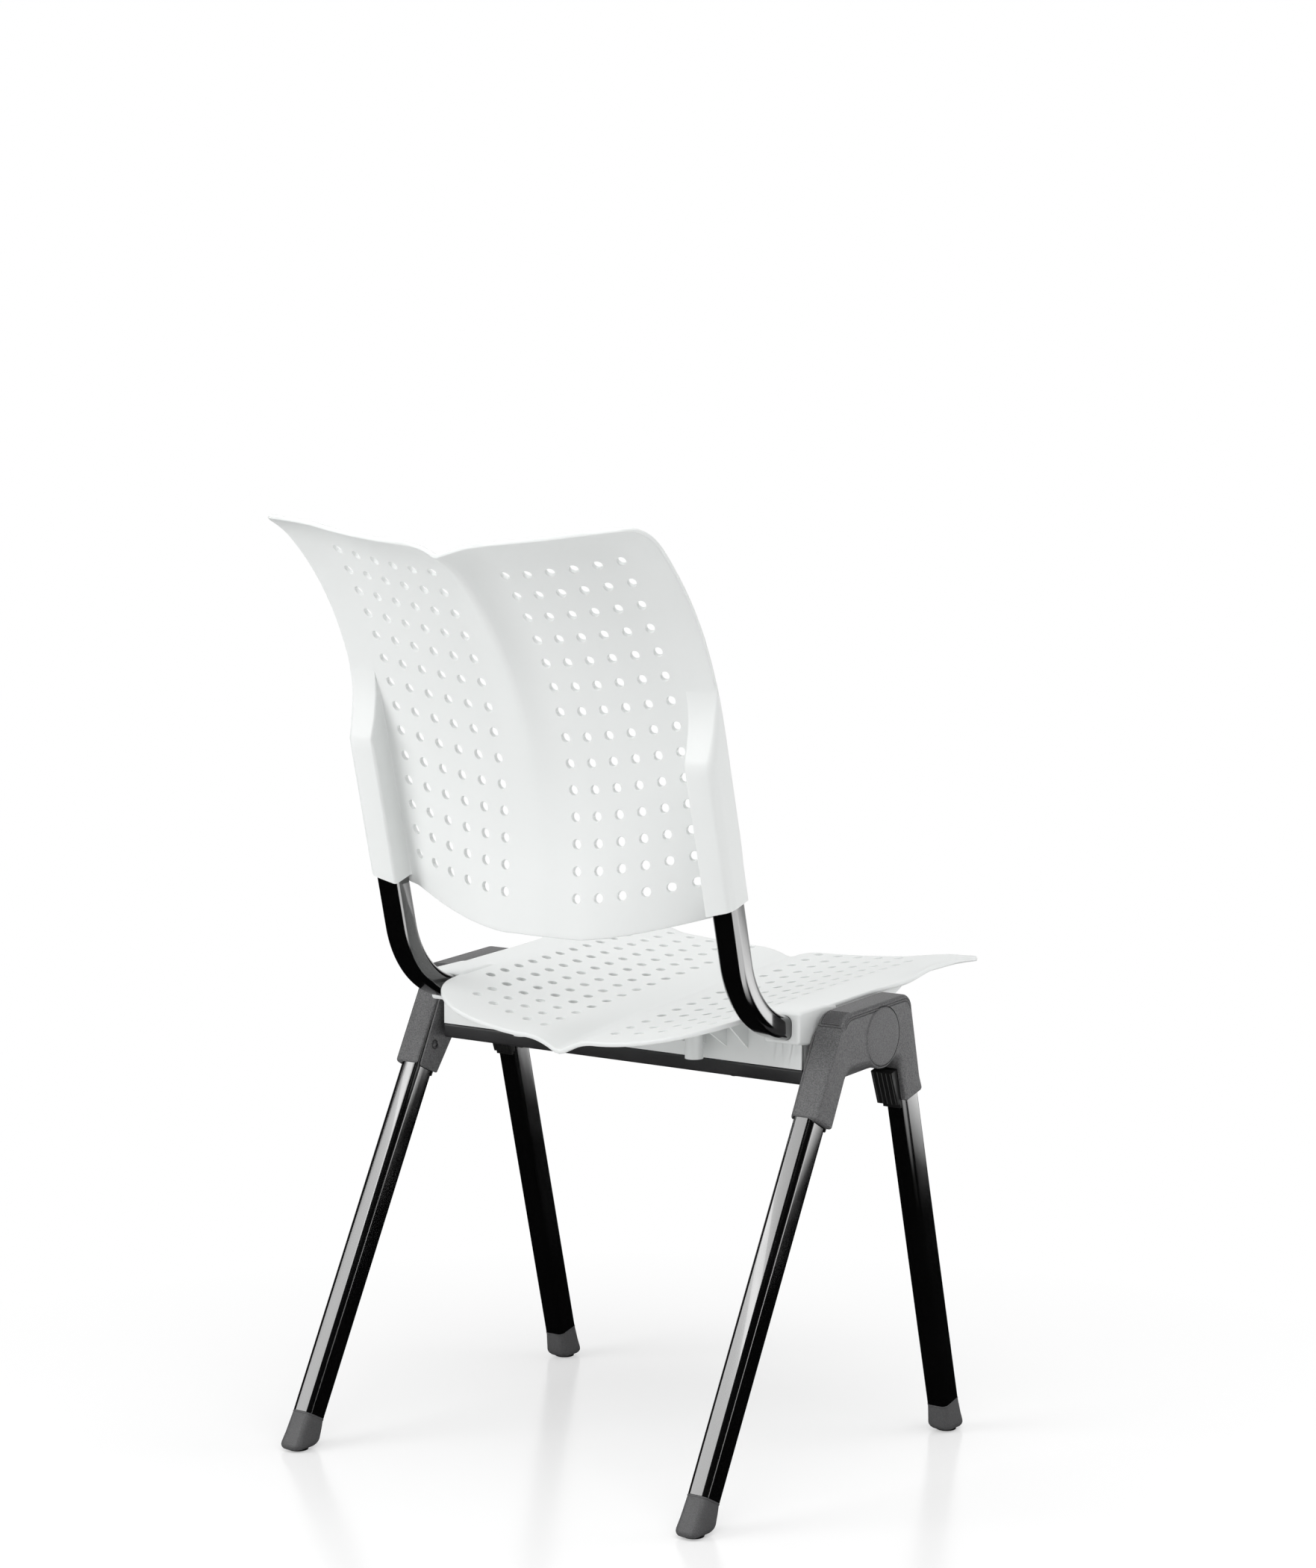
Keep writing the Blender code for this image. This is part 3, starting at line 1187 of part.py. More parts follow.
def build():
    clear_scene()
    shell_white = finish_material("shell_plastic", (0.78, 0.80, 0.79), 0.42)
    tube_black = finish_material("tube_black", (0.004, 0.004, 0.004), 0.12, 0.0, 0.6)
    bracket_grey = finish_material("bracket_grey", (0.085, 0.085, 0.087), 0.55)
    cap_grey = finish_material("cap_grey", (0.06, 0.06, 0.062), 0.6)
    bar_dark = finish_material("bar_dark", (0.03, 0.03, 0.031), 0.4, 0.3)
    steel = finish_material("pivot_steel", (0.45, 0.45, 0.46), 0.3, 1.0)
    rubber = finish_material("rubber_black", (0.015, 0.015, 0.015), 0.8)
    insert_black = finish_material("insert_black", (0.01, 0.01, 0.01), 0.5)
    screw_zinc = finish_material("screw_black", (0.05, 0.05, 0.05), 0.35, 0.8)

    build_back(shell_white)
    build_seat(shell_white)
    bar_z = BAR_TOP_Z - BAR_HEIGHT / 2.0
    rear_bar = x_tube("rear_crossbar", BAR_HALF, REAR_BAR_Y, bar_z, BAR_DEPTH, BAR_HEIGHT,
                      2.5 * MM, BAR_WALL, bar_dark)
    front_bar = x_tube("front_crossbar", BAR_HALF, FRONT_BAR_Y, bar_z, BAR_DEPTH, BAR_HEIGHT,
                       2.5 * MM, BAR_WALL, bar_dark)
    x_tube("base_stretcher", STRETCHER_HALF, STRETCHER_Y, STRETCHER_Z, STRETCHER_DEPTH,
           STRETCHER_HEIGHT, 3.0 * MM, BAR_WALL, bar_dark)
    low = BAR_TOP_Z - BAR_HEIGHT - 3.0 * MM
    drill(rear_bar, "tool_rear_bar_holes", [(s * REAR_BOSS_X, REAR_BOSS_Y, low) for s in (-1, 1)],
          (0, 0, 1), SCREW_RADIUS + GAP, 25.0 * MM, bar_dark)
    drill(front_bar, "tool_front_bar_holes", [(s * FRONT_BOSS_X, FRONT_BOSS_Y, low) for s in (-1, 1)],
          (0, 0, 1), SCREW_RADIUS + GAP, 25.0 * MM, bar_dark)
    for side, word in ((1.0, "left"), (-1.0, "right")):
        build_back_tube("back_tube_" + word, side, tube_black)
        build_rail("side_rail_" + word, side, bar_dark)
        build_arm("pivot_arm_" + word, side, bar_dark)
        build_pin("pivot_pin_" + word, side, steel)
        ring_piece("pivot_spacer_" + word, side, PIN_RADIUS + GAP, 11.5 * MM, ARM_OUT + GAP,
                   COVER_IN - GAP, insert_black)
        ring_piece("torsion_bush_" + word, side, PIN_RADIUS + GAP, BUSH_RADIUS, 232.3 * MM,
                   248.7 * MM, rubber)
        build_bracket("bracket_" + word, side, bracket_grey)
        build_cover("bracket_cover_" + word, side, bracket_grey)
        build_disc("hub_disc_" + word, side, bracket_grey)
        pad = pad_strip(TOP_REAR_RADIUS - PAD_THICKNESS + GAP, TOP_REAR_RADIUS + 0.3 * MM,
                        side * (243.0 * MM - PAD_WIDTH / 2.0), side * (243.0 * MM + PAD_WIDTH / 2.0),
                        -25.0, 29.0, 8)
        make("stacking_pad_" + word, *pad, rubber, 40.0)
        for place in ("rear", "front"):
            leg = build_leg(place + "_leg_" + word, side, place, tube_black)
            spot = (side * (BRACKET_IN - 2.0 * MM), leg_point(place, 378.0 * MM), 378.0 * MM)
            drill(leg, "tool_leg_hole_" + place + "_" + word, [spot], (side, 0, 0),
                  SCREW_RADIUS + GAP, 12.0 * MM, tube_black)
            build_cap(place + "_foot_cap_" + word, side, place, cap_grey)
            build_glide(place + "_glide_" + word, side, place, insert_black)
            build_clamp(place + "_clamp_" + word, side, place, insert_black)
        build_screws(side, word, screw_zinc)


build()
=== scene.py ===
# %% [markdown]
# # A stacking conference chair with winged, perforated shells
# The real chair has two thin moulded shells on an oval steel tube frame. Two A-shaped side
# brackets hold four legs, and a round hub in each bracket lets the seat and back tilt together.
# The solid model comes in first as a fixed frame. Every piece made below takes the place of one
# or more of its nodes, stays where they are, and moves with the same body.

# %% Load the frame
import math

import bmesh
import bpy
import numpy as np
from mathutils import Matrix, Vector
from mathutils.geometry import delaunay_2d_cdt


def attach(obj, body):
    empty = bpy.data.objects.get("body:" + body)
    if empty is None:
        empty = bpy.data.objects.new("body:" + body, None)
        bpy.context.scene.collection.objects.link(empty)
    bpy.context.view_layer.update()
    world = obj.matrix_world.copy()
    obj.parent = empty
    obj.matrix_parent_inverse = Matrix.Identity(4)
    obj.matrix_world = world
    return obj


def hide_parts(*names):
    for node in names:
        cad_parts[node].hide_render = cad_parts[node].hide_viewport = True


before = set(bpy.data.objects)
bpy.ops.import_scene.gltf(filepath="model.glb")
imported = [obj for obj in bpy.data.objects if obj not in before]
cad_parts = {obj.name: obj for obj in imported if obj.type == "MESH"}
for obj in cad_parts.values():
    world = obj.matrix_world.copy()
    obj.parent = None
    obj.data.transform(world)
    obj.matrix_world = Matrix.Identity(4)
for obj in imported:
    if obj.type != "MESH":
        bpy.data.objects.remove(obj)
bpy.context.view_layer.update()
MM = 0.001
DATUM_Y = 11.55 * MM
GAP = 0.3 * MM

# %% [markdown]
# ## The camera first
# A product photograph is easiest to match when the camera is fixed before anything is modelled.
# The chair is seen from behind, a little from its right, with a long lens and from just above
# the back. The camera isn't rolled, so its turn follows from one direction of view.

# %% Camera
CAMERA_SPOT = Vector((-2.250, 3.051 + DATUM_Y, 1.0998))
CAMERA_FORWARD = Vector((0.58229, -0.80474, -0.1155))
CAMERA_LENS = 89.4

camera_data = bpy.data.cameras.new("camera")
camera_data.lens = CAMERA_LENS
camera_data.sensor_width = 36.0
camera_data.clip_end = 60.0
camera = bpy.data.objects.new("camera", camera_data)
camera.location = CAMERA_SPOT
camera.rotation_euler = CAMERA_FORWARD.to_track_quat("-Z", "Y").to_euler()
bpy.context.scene.collection.objects.link(camera)
bpy.context.scene.camera = camera
print("camera at", tuple(round(v, 3) for v in CAMERA_SPOT))

# %% [markdown]
# ## Shader maths that reads as maths
# A node material is a formula. Wrapping a socket in a small class lets the formula be written
# with plain operators, and each operator adds one Math node. Every other node comes from one
# method that takes the node's type, its settings and what goes into its sockets.

# %% Sockets as numbers
def socket_of(value):
    return value.socket if isinstance(value, Wire) else value


def add_node(tree, kind, settings, values):
    """Add a node: its settings first, then the values or links of its sockets."""
    made = tree.nodes.new(kind)
    for key, value in settings.items():
        setattr(made, key, value)
    for key, value in values.items():
        value = socket_of(value)
        if isinstance(value, bpy.types.NodeSocket):
            tree.links.new(value, made.inputs[key])
        else:
            made.inputs[key].default_value = value
    return made


class Wire:
    """One output socket that can be used in an expression."""

    def __init__(self, shop, socket):
        self.shop = shop
        self.socket = socket

    def maths(self, operation, first, second):
        return self.shop.node("ShaderNodeMath", {"operation": operation}, {0: first, 1: second})

    def __add__(self, other):
        return self.maths("ADD", self, other)

    def __radd__(self, other):
        return self.maths("ADD", other, self)

    def __sub__(self, other):
        return self.maths("SUBTRACT", self, other)

    def __rsub__(self, other):
        return self.maths("SUBTRACT", other, self)

    def __mul__(self, other):
        return self.maths("MULTIPLY", self, other)

    def __rmul__(self, other):
        return self.maths("MULTIPLY", other, self)


class Finish:
    """A material and the few calls that fill its node tree."""

    def __init__(self, name, colour, roughness, metallic=0.0, coat=0.0, coat_roughness=0.05,
                 specular=0.5):
        self.material = bpy.data.materials.new(name)
        self.material.use_nodes = True
        self.tree = self.material.node_tree
        self.shader = self.tree.nodes["Principled BSDF"]
        self.constant("Base Color", (*colour, 1.0))
        self.constant("Roughness", roughness)
        self.constant("Metallic", metallic)
        self.constant("Coat Weight", coat)
        self.constant("Coat Roughness", coat_roughness)
        self.constant("Specular IOR Level", specular)
        place = self.tree.nodes.new("ShaderNodeTexCoord")
        self.place = Wire(self, place.outputs["Object"])

    def constant(self, socket, value):
        self.shader.inputs[socket].default_value = value

    def node(self, kind, settings, values, output=0):
        return Wire(self, add_node(self.tree, kind, settings, values).outputs[output])

    def noise(self, size, detail=3.0, roughness=0.55):
        """Cloudy noise whose lumps are about that size in metres."""
        return self.node("ShaderNodeTexNoise", {}, {
            "Vector": self.place, "Scale": 1.0 / size, "Detail": detail, "Roughness": roughness,
        })

    def cells(self, size):
        """Distance to the nearest of a crowd of points about that far apart."""
        return self.node("ShaderNodeTexVoronoi", {"feature": "F1"}, {
            "Vector": self.place, "Scale": 1.0 / size,
        })

    def band(self, wire, low, high, out_low=0.0, out_high=1.0):
        """Remap a value from one range to another and hold it there."""
        return self.node("ShaderNodeMapRange", {"clamp": True}, {
            0: wire, 1: low, 2: high, 3: out_low, 4: out_high,
        })

    def blend(self, factor, first, second):
        """Mix two colours."""
        return self.node("ShaderNodeMix", {"data_type": "RGBA"},
                         {0: factor, 6: first, 7: second}, 2)

    def bump(self, height, strength, distance):
        return self.node("ShaderNodeBump", {},
                         {"Height": height, "Strength": strength, "Distance": distance})

    def into(self, socket, wire):
        self.tree.links.new(wire.socket, self.shader.inputs[socket])


print("shader helpers ready")

# %% [markdown]
# ## The finishes
# The shells are injection-moulded polypropylene with a fine spark-eroded grain: almost white,
# satin, with a grain far smaller than a hole. The brackets, covers and foot caps are a dark
# grey nylon with a coarser grain. The tubes carry a gloss black powder coat, which is black
# with a clear skin and a faint orange peel. Small amounts of noise in colour, roughness and
# bump do most of the work, because a single flat colour never looks like a made thing.

# %% Moulded plastics
def moulded(name, colour, roughness, grain, depth, spread=0.03, speck=0.5, tight=0.2):
    """Grained plastic: a fine grain in the bump, and slow drifts of colour and gloss."""
    finish = Finish(name, colour, roughness, specular=0.5)
    drift = finish.noise(0.09, 2.0)
    fine = finish.noise(grain, 2.0, 0.6)
    low = tuple(c * (1.0 - spread) for c in colour) + (1.0,)
    high = tuple(min(1.0, c * (1.0 + spread)) for c in colour) + (1.0,)
    mottle = drift * (1.0 - speck) + fine * speck
    tint = finish.blend(finish.band(mottle, 0.5 - tight, 0.5 + tight), low, high)
    finish.into("Base Color", tint)
    finish.into("Roughness", finish.band(drift * 0.6 + fine * 0.4, 0.3, 0.7,
                                         roughness - 0.04, roughness + 0.05))
    pits = finish.cells(grain * 1.4)
    finish.into("Normal", finish.bump(fine * 0.6 + pits * 0.4, depth, grain * 0.35))
    return finish.material


SHELL = moulded("shell_plastic", (0.775, 0.792, 0.785), 0.44, 0.9 * MM, 0.10, 0.008)
CASING = moulded("bracket_plastic", (0.100, 0.100, 0.102), 0.50, 1.2 * MM, 0.80, 0.34,
                 speck=0.92, tight=0.11)
CAP = moulded("cap_plastic", (0.086, 0.086, 0.088), 0.52, 0.9 * MM, 0.60, 0.22,
              speck=0.85, tight=0.13)
INSERT = moulded("insert_plastic", (0.010, 0.010, 0.010), 0.38, 1.0 * MM, 0.15, 0.10)
RUBBER = moulded("rubber", (0.014, 0.014, 0.014), 0.72, 1.2 * MM, 0.30, 0.15)
print("plastics:", SHELL.name, CASING.name, CAP.name, INSERT.name, RUBBER.name)


# %% Painted and bare steel
def painted(name, colour, roughness, coat, peel, specular=0.5):
    """Powder coat: orange peel in the bump and a clear coat over it."""
    finish = Finish(name, colour, roughness, coat=coat, coat_roughness=0.03, specular=specular)
    skin = finish.noise(3.2 * MM, 1.5)
    dust = finish.noise(0.06, 3.0)
    finish.into("Roughness", finish.band(dust, 0.35, 0.7, roughness * 0.85, roughness * 1.3))
    finish.into("Base Color", finish.blend(finish.band(dust, 0.3, 0.75), (*colour, 1.0),
                                           (*(c * 1.35 for c in colour), 1.0)))
    finish.into("Normal", finish.bump(skin, peel, 0.25 * MM))
    return finish.material


def turned_steel():
    """Bright steel with fine turning lines."""
    finish = Finish("pivot_steel", (0.45, 0.45, 0.46), 0.30, metallic=1.0)
    lines = finish.node("ShaderNodeTexWave", {"wave_type": "BANDS", "bands_direction": "X"}, {
        "Vector": finish.place, "Scale": 900.0, "Distortion": 0.6, "Detail": 2.0,
    })
    haze = finish.noise(4.0 * MM)
    finish.into("Roughness", finish.band(haze * 0.5 + lines * 0.5, 0.2, 0.8, 0.22, 0.42))
    finish.into("Base Color", finish.blend(haze, (0.40, 0.40, 0.41, 1.0), (0.52, 0.52, 0.53, 1.0)))
    finish.into("Normal", finish.bump(lines, 0.12, 0.05 * MM))
    return finish.material


TUBE = painted("tube_gloss_black", (0.0012, 0.0012, 0.0013), 0.14, 1.0, 0.012, 1.0)
BAR = painted("bar_satin", (0.022, 0.022, 0.023), 0.42, 0.0, 0.12)
SCREW = painted("screw_zinc", (0.045, 0.045, 0.046), 0.33, 0.0, 0.10)
STEEL = turned_steel()
print("metals:", TUBE.name, BAR.name, SCREW.name, STEEL.name)

# %% [markdown]
# ## Meshes from points
# Most pieces are skins over rings of points, drawn in millimetres from near the middle of the
# feet. One helper turns points into a piece: it moves them to the model's origin, points the
# faces outwards, shades them smooth and keeps the edges that are really sharp.

# %% Make, cut and settle a mesh
def solid(name, verts, faces, material, sharp=35.0):
    """A closed mesh object at the origin, with its place in its points."""
    mesh = bpy.data.meshes.new(name)
    mesh.from_pydata([(v[0], v[1] + DATUM_Y, v[2]) for v in verts], [], faces)
    work = bmesh.new()
    work.from_mesh(mesh)
    bmesh.ops.recalc_face_normals(work, faces=work.faces)
    work.to_mesh(mesh)
    work.free()
    mesh.materials.append(material)
    mesh.shade_smooth()
    mesh.set_sharp_from_angle(angle=math.radians(sharp))
    thing = bpy.data.objects.new(name, mesh)
    bpy.context.scene.collection.objects.link(thing)
    return thing


def settle(thing, sharp=35.0):
    """Turn live modifiers into a plain mesh."""
    graph = bpy.context.evaluated_depsgraph_get()
    mesh = bpy.data.meshes.new_from_object(thing.evaluated_get(graph))
    thing.modifiers.clear()
    old = thing.data
    thing.data = mesh
    mesh.name = thing.name
    bpy.data.meshes.remove(old)
    mesh.shade_smooth()
    mesh.set_sharp_from_angle(angle=math.radians(sharp))
    return thing


def boolean(target, tools, operation, solver="EXACT"):
    """Cut or join closed tool meshes, given as (verts, faces)."""
    verts, faces = together(tools)
    tool = solid("tool", verts, faces, target.data.materials[0])
    step = target.modifiers.new("step", "BOOLEAN")
    step.operation = operation
    step.solver = solver
    step.object = tool
    settle(target)
    bpy.data.objects.remove(tool)
    return target


def ease(target, width, segments=3, angle=40.0):
    """Round the edges that are sharper than the angle."""
    step = target.modifiers.new("edge", "BEVEL")
    step.width = width
    step.segments = segments
    step.limit_method = "ANGLE"
    step.angle_limit = math.radians(angle)
    step.harden_normals = False
    return settle(target)


def together(parts):
    verts = []
    faces = []
    for part_verts, part_faces in parts:
        start = len(verts)
        verts.extend(part_verts)
        faces.extend([tuple(start + i for i in face) for face in part_faces])
    return verts, faces


print("piece helpers ready")


# %% Skins over rings
def loft(rings, closed_ends=True):
    """Skin a list of equal rings of points."""
    count = len(rings[0])
    verts = [point for ring in rings for point in ring]
    faces = []
    for level in range(len(rings) - 1):
        low = level * count
        for i in range(count):
            j = (i + 1) % count
            faces.append((low + i, low + j, low + count + j, low + count + i))
    if closed_ends:
        last = (len(rings) - 1) * count
        faces.append(tuple(range(count - 1, -1, -1)))
        faces.append(tuple(range(last, last + count)))
    return verts, faces


def prism(outline, x_low, x_high):
    """Extrude a YZ outline along X."""
    return loft([[(x_low, y, z) for y, z in outline], [(x_high, y, z) for y, z in outline]])


def turned(profile, centre, axis, segments=48):
    """Turn (radius, distance) points about an axis."""
    centre = Vector(centre)
    axis = Vector(axis).normalized()
    side = Vector((0.0, 0.0, 1.0)) if abs(axis.z) < 0.9 else Vector((0.0, 1.0, 0.0))
    first = axis.cross(side).normalized()
    second = axis.cross(first)
    rings = []
    for radius, distance in profile:
        ring = []
        for i in range(segments):
            angle = 2.0 * math.pi * i / segments
            reach = first * (radius * math.cos(angle)) + second * (radius * math.sin(angle))
            ring.append(tuple(centre + axis * distance + reach))
        rings.append(ring)
    return loft(rings)


def rod(radius, start, end, centre, axis, segments):
    """A plain round rod along an axis."""
    return turned([(radius, start), (radius, end)], centre, axis, segments)


def side_rod(side, radius, x, length, spot, segments):
    """A rod at a (y, z) spot that runs outwards along X from its start at x."""
    return rod(radius, 0.0, length, (side * x, *spot), (side, 0, 0), segments)


def open_tube(outer, inner):
    """Join outer and inner rings into a hollow tube with two open ends."""
    rings = outer + list(reversed(inner))
    verts, faces = loft(rings, False)
    count = len(rings[0])
    last = (len(rings) - 1) * count
    for i in range(count):
        j = (i + 1) % count
        faces.append((last + i, last + j, j, i))
    return verts, faces


def side_rings(path, outline, x_centre):
    """Place an outline square to a path in the YZ plane."""
    rings = []
    for index, (y, z) in enumerate(path):
        before = Vector(path[max(index - 1, 0)])
        after = Vector(path[min(index + 1, len(path) - 1)])
        along = (after - before).normalized()
        across = Vector((-along[1], along[0]))
        rings.append([(x_centre + u, y + across[0] * v, z + across[1] * v) for u, v in outline])
    return rings


print("ring helpers ready")


# %% Outlines with round corners
def rounded_rect(width, depth, radius, steps=8):
    points = []
    for quarter in range(4):
        turn = quarter * math.pi / 2.0
        cx = (1.0 if quarter in (0, 3) else -1.0) * (width / 2.0 - radius)
        cy = (1.0 if quarter in (0, 1) else -1.0) * (depth / 2.0 - radius)
        for step in range(steps + 1):
            angle = turn + step * math.pi / 2.0 / steps
            points.append((cx + radius * math.cos(angle), cy + radius * math.sin(angle)))
    return points


def grown(width, depth, corner, by):
    return rounded_rect(width + 2.0 * by, depth + 2.0 * by, corner + by)


def fillet(before, corner, after, radius, steps):
    c = Vector(corner)
    a = (Vector(before) - c).normalized()
    b = (Vector(after) - c).normalized()
    half = math.acos(max(-1.0, min(1.0, a.dot(b)))) / 2.0
    reach = radius / math.tan(half)
    middle = c + (a + b).normalized() * (radius / math.sin(half))
    start = c + a * reach - middle
    end = c + b * reach - middle
    points = []
    for i in range(steps + 1):
        turn = start.lerp(end, i / steps)
        points.append(tuple(middle + turn.normalized() * radius))
    return points


def rounded_outline(corners, steps=8):
    points = []
    for i, (y, z, radius) in enumerate(corners):
        if radius <= 0.0:
            points.append((y, z))
            continue
        before = corners[i - 1][:2]
        after = corners[(i + 1) % len(corners)][:2]
        points.extend(fillet(before, (y, z), after, radius, steps))
    return points


print("outline helpers ready")


# %% Dress a finished piece
SIDES = (("left", 1.0), ("right", -1.0))
PLACES = ("rear", "front")


def dress(thing, body, slot_name, *nodes):
    """Let a finished piece stand for its nodes and ride on their body."""
    if nodes:
        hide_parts(*nodes)
    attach(thing, body)
    print(thing.name, "faces:", len(thing.data.polygons), "rides on", body)
    return thing


print("sides:", SIDES, "places:", PLACES)

# %% [markdown]
# ## The back's surface as a rule
# The back is one sheet bent by four simple rules. Down the middle and down the wings it is a
# straight run, then a large arc, then a tight curl along the top. Between the two lines it
# follows a power of the width. A soft keel runs down the middle, and the ears flare to the rear.
# Writing the surface as a function of half width and hole row means that the sheet, its holes
# and the tube sleeves all agree.

# %% Back surface
HOLE_FIRST = 43.0 * MM
HOLE_PITCH = 24.93 * MM
ROW_PITCH = 26.0 * MM
SHELL_THICKNESS = 4.5 * MM
TUBE_LEAN = math.radians(13.5)
TUBE_X = 202.6 * MM
SLEEVE_FACE = 9.8 * MM
KEEL_SOFT = 6.0 * MM


def run_and_arc(row, y, z, lean, tangent_row, radius, pitch, curl):
    reach = (tangent_row - max(0.0, row)) * pitch
    if reach < 0.0:
        return y + reach * math.sin(lean), z + reach * math.cos(lean)
    turn = lean + reach / radius
    y += radius * (math.cos(lean) - math.cos(turn))
    z += radius * (math.sin(turn) - math.sin(lean))
    end = turn + max(0.0, -row) * pitch / curl
    return y + curl * (math.cos(turn) - math.cos(end)), z + curl * (math.sin(end) - math.sin(turn))


def keel_share(width, start=KEEL_SOFT):
    """1 at the fold, 0 at the first column of holes, rounded over the fold."""
    if width >= start:
        return max(0.0, 1.0 - width / HOLE_FIRST) ** 2
    edge = 1.0 - start / HOLE_FIRST
    slope = -2.0 * edge / HOLE_FIRST
    return edge * edge + slope * (width * width - start * start) / (2.0 * start)


def tube_line(z):
    return 97.5 * MM + (z - 513.0 * MM) * math.tan(TUBE_LEAN)


def back_point(w, row):
    """Point on the rear face of the back."""
    width = abs(w)
    middle = run_and_arc(row, 132.4 * MM, 589.5 * MM, math.radians(-2.2), 12.04, 396.0 * MM,
                         26.16 * MM, 99.0 * MM)
    wing = run_and_arc(row, 132.1 * MM, 691.6 * MM, math.radians(12.1), 8.87, 487.0 * MM,
                       25.47 * MM, 68.0 * MM)
    u = max(0.0, width - HOLE_FIRST) / (124.6 * MM)
    y = middle[0] + (wing[0] - middle[0]) * u ** 1.62
    z = middle[1] + (wing[1] - middle[1]) * u ** 1.40
    depth = 2.0 * MM + 18.0 * MM * max(0.0, (10.0 - row) / 10.0) ** 1.3
    depth += 9.0 * MM * max(0.0, (1.0 - row) / 2.0) ** 2
    y += depth * keel_share(width)
    high = max(0.0, (5.5 - row) / 5.5)
    out = max(0.0, (width - 160.0 * MM) / (58.4 * MM))
    y += (2.5 * MM + 18.0 * MM * high ** 2.6) * out ** 1.5
    if width > 170.0 * MM and row > 4.0:
        face = tube_line(z) - SLEEVE_FACE / math.cos(TUBE_LEAN)
        blend = 3.0 * MM
        y = face + 0.5 * ((y - face) + math.sqrt((y - face) ** 2 + blend * blend)) \
            if width > 186.0 * MM else max(y, face)
    return Vector((w, y, z))


print("row 0, middle:", tuple(round(v / MM, 1) for v in back_point(HOLE_FIRST, 0.0)))

# %% [markdown]
# ## A flat sheet that is punched and then bent
# A press tool punches holes while the blank is flat, and that is also the easy way in a mesh:
# Boolean cuts on a flat plate are clean, and the bend comes afterwards. The blank is drawn in
# (width, run) with its real thickness and a rounded rim. A Geometry Nodes tree stands one punch
# on every hole centre and cuts them all at once. Each point is then carried to the curved
# surface, along the surface's own normal.

# %% Punching tree
def input_socket(tree, name, kind, value=None):
    socket = tree.interface.new_socket(name=name, in_out="INPUT", socket_type=kind)
    if value is not None:
        socket.default_value = value
    return socket.identifier


def punching_tree():
    """Stand a punch on every hole centre and cut them all from the blank."""
    tree = bpy.data.node_groups.new("punch_holes", "GeometryNodeTree")
    ids = {"blank": input_socket(tree, "Blank", "NodeSocketGeometry")}
    ids["centres"] = input_socket(tree, "Hole Centres", "NodeSocketObject")
    ids["punch"] = input_socket(tree, "Punch", "NodeSocketObject")
    ids["size"] = input_socket(tree, "Punch Size", "NodeSocketFloat", 1.0)
    ids["material"] = input_socket(tree, "Material", "NodeSocketMaterial")
    tree.interface.new_socket(name="Sheet", in_out="OUTPUT", socket_type="NodeSocketGeometry")
    given = tree.nodes.new("NodeGroupInput").outputs
    centres = add_node(tree, "GeometryNodeObjectInfo", {}, {"Object": given["Hole Centres"]})
    punch = add_node(tree, "GeometryNodeObjectInfo", {}, {"Object": given["Punch"]})
    spots = add_node(tree, "GeometryNodeInstanceOnPoints", {}, {
        "Points": centres.outputs["Geometry"],
        "Instance": punch.outputs["Geometry"],
        "Scale": given["Punch Size"],
    })
    tools = add_node(tree, "GeometryNodeRealizeInstances", {}, {"Geometry": spots.outputs[0]})
    cut = add_node(tree, "GeometryNodeMeshBoolean", {"operation": "DIFFERENCE", "solver": "EXACT"},
                   {"Mesh 1": given["Blank"], "Mesh 2": tools.outputs[0]})
    real = add_node(tree, "GeometryNodeRealizeInstances", {}, {"Geometry": cut.outputs["Mesh"]})
    done = add_node(tree, "GeometryNodeSetMaterial", {}, {
        "Geometry": real.outputs[0], "Material": given["Material"],
    })
    tree.links.new(done.outputs[0], tree.nodes.new("NodeGroupOutput").inputs[0])
    return tree, ids


PUNCHING, PUNCHING_INPUTS = punching_tree()
print("punching tree nodes:", len(PUNCHING.nodes))


# %% Outlines of a flat sheet
def smooth_line(corners, spacing):
    """Round a line of corners by cutting them three times, then divide it evenly."""
    line = np.array(corners, float)
    for _ in range(3):
        quarter = line[:-1] * 0.75 + line[1:] * 0.25
        three = line[:-1] * 0.25 + line[1:] * 0.75
        cut = np.empty((2 * len(quarter), 2))
        cut[0::2] = quarter
        cut[1::2] = three
        line = np.vstack([line[:1], cut[1:-1], line[-1:]])
    lengths = np.concatenate([[0.0], np.cumsum(np.linalg.norm(np.diff(line, axis=0), axis=1))])
    count = int(round(lengths[-1] / spacing))
    at = np.linspace(0.0, lengths[-1], count + 1)
    return np.stack([np.interp(at, lengths, line[:, i]) for i in (0, 1)], axis=1)


def mirrored(half):
    """Close a half outline that starts and ends on the middle line."""
    other = half[1:-1][::-1] * np.array([-1.0, 1.0])
    return np.vstack([half, other])


def inset(outline, distance):
    """Move a closed outline inwards along its own normals."""
    before = np.roll(outline, 1, axis=0)
    after = np.roll(outline, -1, axis=0)
    along = after - before
    along /= np.linalg.norm(along, axis=1)[:, None]
    normal = np.stack([-along[:, 1], along[:, 0]], axis=1)
    area = np.sum(outline[:, 0] * after[:, 1] - after[:, 0] * outline[:, 1])
    if area < 0.0:
        normal = -normal
    return outline + normal * distance


def inside(points, outline):
    """Which points lie inside a closed outline."""
    x, y = points[:, 0][:, None], points[:, 1][:, None]
    ax, ay = outline[:, 0][None], outline[:, 1][None]
    bx, by = np.roll(ax, -1), np.roll(ay, -1)
    crosses = (ay > y) != (by > y)
    with np.errstate(divide="ignore", invalid="ignore"):
        at = ax + (y - ay) * (bx - ax) / (by - ay)
    return (crosses & (x < at)).sum(axis=1) % 2 == 1


print("sheet outline helpers ready")


